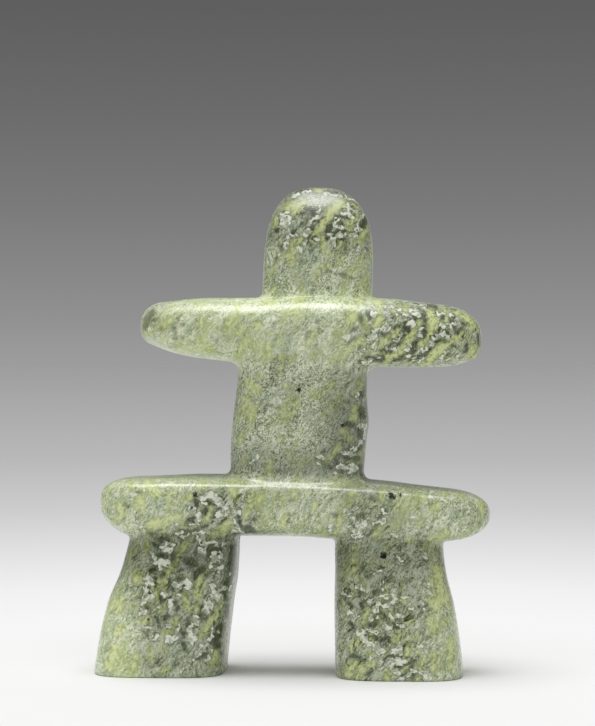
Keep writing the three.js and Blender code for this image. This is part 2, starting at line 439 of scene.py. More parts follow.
class Graph:
    def __init__(self, tree):
        self.tree = tree
        tree.nodes.clear()

    def node(self, kind, inputs=None, **settings):
        made = self.tree.nodes.new("ShaderNode" + kind)
        for name, value in settings.items():
            setattr(made, name, value)
        for name, value in (inputs or {}).items():
            self.put(made.inputs[name], value)
        return made

    def put(self, socket, value):
        """Links a value that comes from another node, or sets it."""
        if isinstance(value, bpy.types.NodeSocket):
            self.tree.links.new(value, socket)
        else:
            socket.default_value = value

    def math(self, operation, *values):
        made = self.node("Math", operation=operation)
        for k, value in enumerate(values):
            self.put(made.inputs[k], value)
        return made.outputs[0]

    def centred(self, value, middle=0.5):
        """How far a value lies above its middle."""
        return self.math("SUBTRACT", value, middle)

    def add_share(self, value, share, rest):
        """A share of the value, added to the rest."""
        return self.math("MULTIPLY_ADD", value, share, rest)

    def vector(self, operation, *values):
        made = self.node("VectorMath", operation=operation)
        for k, value in enumerate(values):
            scale = operation == "SCALE" and k == 1
            self.put(made.inputs["Scale" if scale else k], value)
        return made.outputs[0]

    def cells(self, place, size, offset):
        """Places counted in cells of a size, which is one number or one for each axis. Each pattern
        has an offset of its own, so that no two are alike."""
        sizes = size if isinstance(size, tuple) else (size,) * 3
        scaled = self.vector("MULTIPLY", place, tuple(1 / s for s in sizes))
        return self.vector("ADD", scaled, (offset,) * 3) if offset else scaled

    def noise(self, place, size, detail=2.0, roughness=0.5, offset=0.0, output="Fac"):
        """Soft noise whose blots measure about size."""
        cells = self.cells(place, size, offset)
        values = {"Vector": cells, "Scale": 1.0, "Detail": detail, "Roughness": roughness}
        return self.node("TexNoise", values, noise_dimensions="3D").outputs[output]

    def voronoi(self, place, size, output, feature="F1", offset=0.0):
        values = {"Vector": self.cells(place, size, offset), "Scale": 1.0}
        return self.node("TexVoronoi", values, feature=feature).outputs[output]

    def step(self, value, low, high, to_low=0.0, to_high=1.0):
        """Rises smoothly from to_low to to_high while the value goes from low to high."""
        ends = {"From Min": low, "From Max": high, "To Min": to_low, "To Max": to_high}
        values = {"Value": value, **ends}
        return self.node("MapRange", values, interpolation_type="SMOOTHSTEP").outputs[0]

    def mask(self, field, low, high, strength=1.0):
        """Rises from nothing to its strength."""
        return self.step(field, low, high, 0.0, strength)

    def mix(self, share, a, b):
        """Mixes two colours, whose sockets are the node's seventh and eighth."""
        made = self.node("Mix", data_type="RGBA")
        self.put(made.inputs[0], share)
        self.put(made.inputs[6], a)
        self.put(made.inputs[7], b)
        return made.outputs[2]

    def ramp(self, value, stops):
        """A smooth run through colours given at places from 0 to 1."""
        made = self.node("ValToRGB", {"Fac": value})
        ramp = made.color_ramp
        while len(ramp.elements) > 1:
            ramp.elements.remove(ramp.elements[-1])
        ramp.elements[0].position, ramp.elements[0].color = stops[0]
        for place, paint in stops[1:]:
            ramp.elements.new(place).color = paint
        return made.outputs["Color"]

    def attribute(self, name):
        return self.node("Attribute", attribute_name=name).outputs["Fac"]

    def finish(self, shader, output="OutputMaterial"):
        """Makes a shader the tree's result."""
        self.tree.links.new(shader.outputs[0], self.node(output).inputs["Surface"])


# The stage: a pale floor painted darker with distance, a painted falloff of light, and a studio
# that darkens upwards.

FLOOR_RADIUS = 40.0
FLOOR_SIDES = 128
# How strongly the lamps light the floor. Its greys are divided by this.
FLOOR_LIGHT = 1.09

# Each row: distance from the carving, and the grey there on a screen, 0 to 255. These greys
# paint the light's falloff away from the carving into the floor.
PAINTED_FLOOR_FALLOFF_GREYS = [(0.2, 246), (0.34, 240), (0.53, 227), (0.95, 204), (1.84, 184), (4.4, 170),
               (10.2, 161.3), (24.0, 157), (40.0, 154.8)]

# Each row: height of a ray above the horizon, as a share of its length, and its grey. Below the
# horizon these are the floor's greys, for a view in which the floor ends early.
STUDIO_GREYS = [(-0.1, 205), (-0.03, 171), (-0.0128, 162.5), (-0.0073, 160), (-0.0036, 156.5),
                (0.0, 155.2), (0.0215, 143), (0.0443, 133), (0.0673, 123), (0.0901, 115),
                (0.1127, 107), (0.1352, 101), (0.1575, 95), (0.3, 90), (0.5, 150), (0.75, 165),
                (1.0, 150)]
LOWEST_RAY = STUDIO_GREYS[0][0]

# Each row: name, the way towards the light, its width in degrees, its strength, and whether the
# polish mirrors it.
LIGHTS = [
    ("overhead", (-0.05, 0.0, 1.0), 34, 2.05, True),
    ("rim", (0.1, 0.8, 1.0), 60, 0.05, True),
    ("fill", (-0.2, -1.0, 0.45), 130, 0.85, False),
]


def colour(red, green, blue):
    """Blender's linear values for a colour as it looks on a screen, 0 to 255."""
    shares = [c / 255 for c in (red, green, blue)]
    return (*[c / 12.92 if c <= 0.04045 else ((c + 0.055) / 1.055) ** 2.4 for c in shares], 1.0)


def grey(value, share=1.0):
    shade = colour(value, value, value)[0] * share
    return (shade, shade, shade, 1.0)


def new_material(name):
    material = bpy.data.materials.new(name)
    material.use_nodes = True
    return material, Graph(material.node_tree)


def floor_material():
    """The ramp runs over distance / (distance + 1), so that the near part has room."""
    material, g = new_material("floor")
    place = g.node("TexCoord").outputs["Object"]
    reach = g.vector("LENGTH", place).node.outputs["Value"]
    share = g.math("DIVIDE", reach, g.math("ADD", reach, 1.0))
    stops = [(r / (r + 1), grey(value, 1 / FLOOR_LIGHT)) for r, value in PAINTED_FLOOR_FALLOFF_GREYS]
    g.finish(g.node("BsdfPrincipled", {
        "Base Color": g.ramp(share, stops),
        "Roughness": 1.0,
        "Specular IOR Level": 0.0,
    }))
    return material


def add_floor():
    builder = bmesh.new()
    bmesh.ops.create_circle(builder, cap_ends=True, radius=FLOOR_RADIUS, segments=FLOOR_SIDES)
    mesh = bpy.data.meshes.new("floor")
    builder.to_mesh(mesh)
    builder.free()
    mesh.materials.append(floor_material())
    floor = bpy.data.objects.new("floor", mesh)
    bpy.context.scene.collection.objects.link(floor)


def add_world():
    world = bpy.data.worlds.new("studio")
    bpy.context.scene.world = world
    world.use_nodes = True
    g = Graph(world.node_tree)
    rise = g.node("SeparateXYZ", {"Vector": g.node("TexCoord").outputs["Generated"]}).outputs["Z"]
    share = g.math("DIVIDE", g.math("SUBTRACT", rise, LOWEST_RAY), 1 - LOWEST_RAY)
    stops = [((z - LOWEST_RAY) / (1 - LOWEST_RAY), grey(value)) for z, value in STUDIO_GREYS]
    g.finish(g.node("Background", {"Color": g.ramp(share, stops), "Strength": 1.0}), "OutputWorld")


def add_light(name, towards, angle, strength, mirrored):
    """A soft light so far off that it reaches everything alike."""
    data = bpy.data.lights.new(name, "SUN")
    data.angle = math.radians(angle)
    data.energy = strength
    lamp = bpy.data.objects.new(name, data)
    lamp.rotation_euler = Vector(towards).to_track_quat("Z", "Y").to_euler()
    lamp.visible_glossy = mirrored
    bpy.context.scene.collection.objects.link(lamp)


# The stone's pattern on the front, drawn in millimetres. Each mark is a width, and then x
# and z of each point of its middle line. The veins run up to the right.

# Pale fragments with sharp edges, and two thin painted rim highlights along the head's top edge.
FLAKES_AND_RIM_HIGHLIGHTS = [
    # head
    (1.2, 11, 192, 10.6, 189.6), (1.3, 10.4, 189, 10, 187.6), (1.5, 10.4, 187.2, 8.6, 186.9),
    (1, -4.4, 188.4, -2.2, 189.4), (2.6, -5, 187, -3, 185.4), (1.4, -5.6, 188.4, -4.6, 188),
    (1.2, -2.2, 187.4, -1.6, 186.4), (1.6, -4.6, 184.4, -3.6, 183.2), (1.4, -3.2, 183.4, -2, 181.6),
    (1, -1.5, 180.6, -2, 178.2, -3, 176.2, -3.6, 173.4, -5.2, 171.8), (1.3, -1, 179.4, 1.4, 179),
    (0.9, 7.4, 185.8, 6.9, 183.6, 6, 181.6), (1.1, 4.8, 180.8, 5.7, 179.4, 5.2, 177.6, 4.6, 175.6),
    (2, 2.4, 174.6, 2.9, 173.4), (1.6, 20, 188.4, 22.6, 188.6), (1.4, 22.4, 188.2, 24, 187),
    (0.8, 22.2, 192.8, 22.1, 189.8), (1, 23.6, 190.8, 25.8, 190), (0.9, 17.8, 186.5, 19, 185.9),
    (1.5, 17, 184.4, 16.8, 183.2), (1, 16.8, 182.9, 21, 182.7), (1.5, 18.6, 179.8, 20.6, 179.4),
    (0.8, 16.4, 181.6, 16, 180.8), (1.3, 25.6, 184.6, 26, 182.6), (0.9, 26.2, 182.6, 27.6, 181.6),
    (0.9, 25.6, 182, 25.4, 180), (1.3, 23.4, 179.6, 25.6, 179.4), (0.8, 28.2, 188.8, 27.4, 186),
    (1.4, 15.2, 179.4, 16.4, 177, 16.8, 175.8), (1.2, 9.6, 178.6, 10.6, 177.8),
    # Painted rim highlight: the mark on the next line and the first mark on the line after it run along
    # the head's top edge.
    (0.9, 21.2, 196, 22.6, 195, 25, 194.4, 27.6, 192.6, 29.4, 190.8, 30.8, 188.6, 31.6, 186),
    (0.9, -0.4, 196.4, 3.2, 197.6, 6.8, 198.4), (0.8, 12.6, 197.4, 16, 196.6, 19, 196.2),
    (1.6, 26.6, 174.6, 26.6, 172.8), (1.2, 29.4, 173.2),
    # left arm
    (1.2, -58.6, 142.6, -57, 143.6), (0.9, -58.9, 141), (1, -45.2, 145.2, -43.4, 145),
    (0.8, -34, 144.2, -33.4, 145.4),
    # middle of the arms
    (1.6, 25.4, 138.8, 26.8, 140.4), (1.4, 21.6, 138.2, 22.8, 137), (0.9, 28.6, 138.9),
    (2.8, 31.4, 137.6, 33, 138.4), (1.4, 33, 133.4, 34, 135.4), (2.2, 33.2, 147.2, 32.4, 147.6),
    (1.2, 30.4, 149.8, 32.4, 150), (1, 28.6, 127.8, 30.4, 127.4), (0.9, 31, 128.2, 31.8, 129),
    (0.7, 26.8, 131.8, 29, 130.6), (0.9, 29.8, 133.4, 31, 134.8), (0.8, 35.2, 129.8),
    # right arm
    (0.9, 47.2, 147.8, 47.8, 149.2, 50, 149.2), (1.1, 48.2, 147.4, 51.2, 146.6),
    (0.9, 49.8, 148.4, 50.6, 147.2), (0.7, 43.4, 149, 45, 147.4), (0.7, 41.8, 147, 43, 147.2),
    (1.3, 46, 142.8, 47.6, 143.6, 48.6, 142.4), (0.9, 47, 144, 48.4, 143.8),
    (0.7, 46.4, 146.4, 47, 145.4), (2.1, 38.2, 143, 39, 141.4), (1.5, 33.4, 140.8, 35.6, 141.4),
    (1.1, 36, 141.8, 37.4, 141), (1.3, 51, 138.4, 52, 141), (1.1, 50.8, 138.4, 52, 138),
    (1.5, 60.4, 143.2, 60.8, 142), (1.1, 63, 143, 65.6, 143.2), (1.3, 63.8, 142.6, 64.2, 141),
    (2.3, 59, 138.4, 61.4, 139), (1.3, 61.6, 138.4, 63, 137.4), (1.1, 58, 139, 58.4, 138),
    (1.9, 57.2, 137.4, 56.4, 135.2), (1.3, 51.6, 132.6, 54.2, 132.8), (0.7, 52, 132, 53.4, 131.9),
    (1.9, 46.2, 132.4, 47, 133.6), (0.9, 47.2, 134.4, 47.4, 133.6), (1.2, 38.4, 133.4, 40.6, 133.2),
    (0.9, 41, 132.8, 41.8, 131.9), (0.8, 41.6, 136, 43, 136.4), (0.7, 43, 137.2, 44.2, 139),
    (1, 66.8, 130.4, 69, 130.8), (0.7, 63.2, 132.8, 61.4, 130.8, 59.8, 129),
    (0.7, 60, 128.2, 57.4, 127), (0.7, 63.4, 128.8, 61, 128), (0.7, 52.8, 151.4, 54, 150.8),
    (0.7, 51.6, 150.8, 53.6, 149.6), (0.8, 41.2, 127.4, 43.2, 127.4), (0.7, 59, 148, 59.4, 147.2),
    (0.7, 60.6, 147.6, 61.6, 147.2), (0.7, 37, 150.6, 39.6, 149.6), (0.7, 40.2, 150.6, 41.4, 150),
    (0.7, 49.8, 131, 51, 131), (0.7, 46, 130, 47.4, 130.4), (0.7, 51, 127.2, 52.8, 129.4),
    (0.7, 48, 127.6, 49.6, 129.6), (0.7, 63.6, 147.2, 64.6, 146.6),
    # trunk
    (1.6, 30.2, 108.6, 30, 104), (2.4, 27.6, 102, 30.8, 101.2), (1.8, 29.4, 100, 29, 96.8),
    (0.9, 27.9, 95.4, 27.2, 93.8), (1.6, 24, 92.4, 25.2, 92.8), (1.6, 20.8, 91, 22.6, 90.8),
    (1.4, 23, 90.4, 25, 90.2), (1.8, 19, 85.4, 21.6, 85), (2.4, 24.2, 85.2, 25.6, 84.4),
    (1.8, 24.4, 83.4, 23.2, 82.6), (1.8, 10.6, 89.4, 12.2, 89), (0.7, 9.8, 87.4, 10.6, 86.8),
    (1.4, 26, 114.2, 26.8, 116.2), (0.8, 27.8, 116.4), (1.2, -6.4, 111.2, -4.8, 111.8),
    (0.8, -17.4, 86, -14.2, 89.6), (1.4, 17.4, 83),
    # hips, left
    (0.7, -63.8, 74, -61.6, 74), (0.7, -64, 73.4, -66.4, 70.6), (0.9, -66.5, 73), (0.9, -60.5, 76.3),
    (0.7, -73.6, 66.6, -73.2, 65.8), (1.9, -63.6, 62.6, -62.4, 61.2), (2.1, -40.6, 69.8, -41.2, 68),
    (0.9, -39.4, 68.4), (0.7, -47.8, 61.6, -46.4, 62), (0.7, -47.5, 58.6, -44.6, 58.6),
    (0.7, -42.2, 57.8, -39.6, 58.5, -36.8, 58.8, -33.6, 58.4), (0.7, -52.9, 57.6, -51.6, 57.2),
    (0.7, -45, 57.2, -42.8, 56.8), (1.9, -38.4, 66, -37.4, 65.4), (2.1, -38.2, 64.4, -38.4, 62.8),
    (0.7, -39, 62.2, -42.4, 61.8), (1.7, -37.6, 73.2, -35.6, 72.6), (2.3, -33.4, 74.2, -31.2, 73.8),
    (2.1, -31.4, 72.4, -29.4, 72), (1.5, -29.6, 71, -28.6, 70.2), (0.9, -36.8, 71, -35, 70.4),
    (1.1, -28, 69.6, -25.6, 68.4), (0.9, -29.6, 68, -29, 66.8), (1.9, -30.2, 65.8, -27.4, 66.2),
    (1.1, -30.6, 65, -31, 64), (0.7, -31.6, 63.6, -29, 63.2), (1.2, -21.7, 68.2, -21.4, 66.6),
    (0.8, -22.8, 64.4, -22.6, 62), (1.5, -22.4, 61.2, -22, 60),
    (0.7, -24.6, 59.1, -22, 59.3, -19.6, 58.8), (0.8, -17.2, 63.4, -15.6, 63),
    (0.7, -12.8, 64.4, -13.6, 62.9), (1.7, -14.6, 61.3), (0.9, -7.4, 61.7),
    # hips, right
    (1.6, 21.4, 68, 23, 67.2), (1, 24.8, 68.8, 26.6, 69), (3, 27.2, 61.8, 29.2, 63),
    (2.4, 25, 59.4, 27.2, 58.8), (1.2, 24.6, 57, 28.4, 57.2), (1.4, 32.6, 62.3),
    (2.2, 35.2, 63.6, 37, 64), (1.4, 15.2, 61.4, 15.6, 59.6), (0.7, 28, 79.2, 30, 78.9),
    (0.9, 34.2, 78.6, 37, 78.5), (1.2, 24.8, 64.8, 25.4, 63.6), (0.6, 30.6, 67.2, 32, 69),
    (0.6, 34, 65.5, 37.6, 69), (1.8, 40.6, 58.6, 41.6, 58), (2, 56.8, 75, 55.8, 73.2),
    (0.9, 40.4, 77.4, 42.4, 76.8), (0.8, 47.8, 65.6, 49.4, 65.2), (0.9, 40.2, 67.5),
    (0.8, 37.4, 66.6, 38.2, 67), (0.7, 60.6, 73, 62.4, 71.4), (0.7, 72.6, 65, 71.2, 63.2),
    # left leg
    (2.6, -55, 46.3, -51, 46.3), (2, -53.5, 45.2, -52.8, 44.2), (1.6, -57.2, 50.2, -55.8, 48.2),
    (2.2, -52.5, 52.2, -49.5, 51.6), (0.8, -51.5, 54.2, -48, 53.8), (2.6, -58.6, 40.4, -57.2, 38.9),
    (2, -58.8, 37.3, -59.2, 36.2), (2.6, -58.6, 34.6, -57.2, 33.2), (2.2, -56.6, 32, -60.2, 31.4),
    (2, -47.6, 37.8, -45.8, 37.6), (2.8, -44.4, 37.9, -42, 38.2), (2, -44.5, 36.7, -41.3, 36.8),
    (1.2, -52.8, 34.2, -51.2, 33.8), (0.9, -51, 32.4, -49.2, 31.2), (1.5, -49.2, 31.2, -48.8, 29.4),
    (1.2, -50, 29.7, -48, 29.6), (1.4, -49.2, 29, -49, 27.2, -48, 25.8),
    (0.8, -46.3, 33.9, -45.2, 33.8), (2, -37.5, 52, -36, 51.2), (1.8, -38.4, 56.3, -35.8, 56.2),
    (1.1, -37.3, 54.6, -36.2, 53.6), (1, -35.5, 54, -33.5, 54.6, -31.3, 54.4, -30.4, 53.4, -31.6, 52.7),
    (1.4, -28.3, 53.8), (4, -31.2, 49, -30.2, 48.9), (1.2, -33.2, 45.5, -32.8, 44.8),
    (1.6, -31, 44.2, -28.5, 44.8), (1.6, -29.5, 43.2), (1.8, -33, 37.6, -31.8, 36.8),
    (3, -31.8, 34, -30.2, 32.4), (1, -30, 35.2, -27.2, 36), (1.4, -34.5, 31.3, -33.2, 31),
    (2, -34.5, 29.3, -32.6, 29.4), (0.8, -25.5, 36, -25.5, 34.5), (1.2, -25.6, 41.5),
    (1.4, -61.6, 25.8, -59.4, 26.4), (0.8, -61, 28, -60.6, 30.5), (0.9, -54.5, 28.8, -53, 29),
    (1, -45.2, 26, -44.2, 26.1), (1.8, -50.3, 21, -49.6, 21.3),
    (2.2, -50.4, 15.5, -48.8, 16.2, -46.6, 16), (1.6, -49, 14.8),
    (1, -57, 15.6, -55.6, 15.4, -54.4, 17), (1, -41.2, 24.2, -40, 24), (2.4, -39.3, 24, -38.6, 22.9),
    (1.4, -40.3, 22.3, -41, 20), (1.8, -41.2, 19.5, -41, 17.2), (2.2, -41.5, 15.9, -39.4, 15.8),
    (1.4, -40.4, 14.6), (0.8, -45.2, 22.4, -46.4, 19.5, -46.8, 17.8), (2.4, -34.2, 30.4, -33, 28.8),
    (1.4, -35.6, 27.6, -34.4, 26), (1.2, -36.8, 13), (2, -38.4, 9.2, -37.7, 9.8),
    (1.4, -41, 7.2, -40.2, 7.4), (1.2, -35.6, 6.7), (1.4, -33.5, 11.5, -32.6, 10.6),
    (1.2, -34, 8.4, -33.8, 7.4), (1, -32.6, 18.8, -32, 20.2), (1.2, -30, 18.3), (1.4, -29.2, 28.6),
    (0.9, -35.2, 14.6, -33.4, 15.2, -32.6, 16.8), (1, -45, 2.4, -43.8, 4),
    (0.7, -62.3, 20.3, -56, 20.6),
    # right leg
    (1.8, 36.3, 34.2, 38, 33.5), (2.4, 41.3, 35.6, 41.8, 33.4),
    (1.3, 34.2, 31.6, 35.8, 30.4, 38.2, 30.2, 40.6, 31.2), (2, 33.2, 28.8, 34.2, 28.4),
    (1.2, 28.4, 36.8, 29.2, 36.6), (1.2, 27.8, 38.2, 26, 37.2), (1, 35.9, 38.8, 37.4, 39.6),
    (1, 36.6, 36), (1.4, 31.4, 32.6, 31.2, 30.6), (0.9, 20.8, 34.5, 22.8, 33.9, 25.4, 34.8),
    (0.7, 33, 42.8, 36, 44), (0.7, 41.5, 49.5, 44, 48.2), (1, 44.3, 47.9),
    (0.8, 53.6, 50.4, 54.4, 48.2), (1.2, 53.2, 38.8, 54.8, 38), (1.6, 52.6, 31.6, 52.2, 30.4),
    (2, 53.2, 28.6), (1.6, 48.3, 28.8), (0.9, 44, 34, 46.6, 33.6), (2.1, 26.6, 19.2, 28.6, 17.6),
    (2.1, 28.6, 17.6, 31, 15.6), (2, 31, 15.6, 34, 13.4), (3.1, 34.4, 13, 36, 11.8),
    (1.2, 28.8, 19.6, 29.6, 19), (1.1, 31.4, 20.8, 32.8, 19.9, 34.6, 19.3), (0.8, 27, 19.9, 30, 20.2),
    (2.2, 37.3, 22.4, 39.2, 21.3), (1.1, 39.2, 25.9, 40.2, 25, 41.8, 24.3), (0.8, 39.5, 27),
    (1.3, 31.8, 26, 32.1, 24.2), (0.9, 34.7, 25, 35.4, 26.2), (1, 27.4, 25.7),
    (1.2, 42.8, 26.1, 44.2, 26.4), (1.6, 43.2, 22.1, 44.8, 22.3), (0.8, 44.2, 23),
    (1, 39.4, 14.9, 40, 14.2), (2.4, 41.2, 11.8, 43, 12.2), (1.6, 43.4, 13.6, 43.8, 11.4),
    (1.8, 38.6, 6.7, 39.8, 6.3), (2.8, 40.6, 8.2, 44.2, 8), (1.8, 44, 7.4, 46.6, 8.6),
    (1.4, 42.4, 3.2, 43.4, 3.3), (1.4, 42.8, 0.7, 45.4, 1.4, 47.4, 2.6),
    (1.1, 47.8, 4.9, 49.2, 4.2, 50.6, 3.6, 53.2, 3.9, 55, 4.8), (3, 54.3, 1.8, 54.8, 0.9),
    (1.3, 51, 14.2, 53, 14.2, 54.3, 12.6), (0.8, 58, 14.4, 59.7, 12.9), (1, 63.8, 3, 64.5, 1.8),
    (1.4, 31.2, 9.3, 31.8, 9), (1.2, 22.8, 26.6, 23.8, 27.2), (0.9, 50.5, 8.8),
]

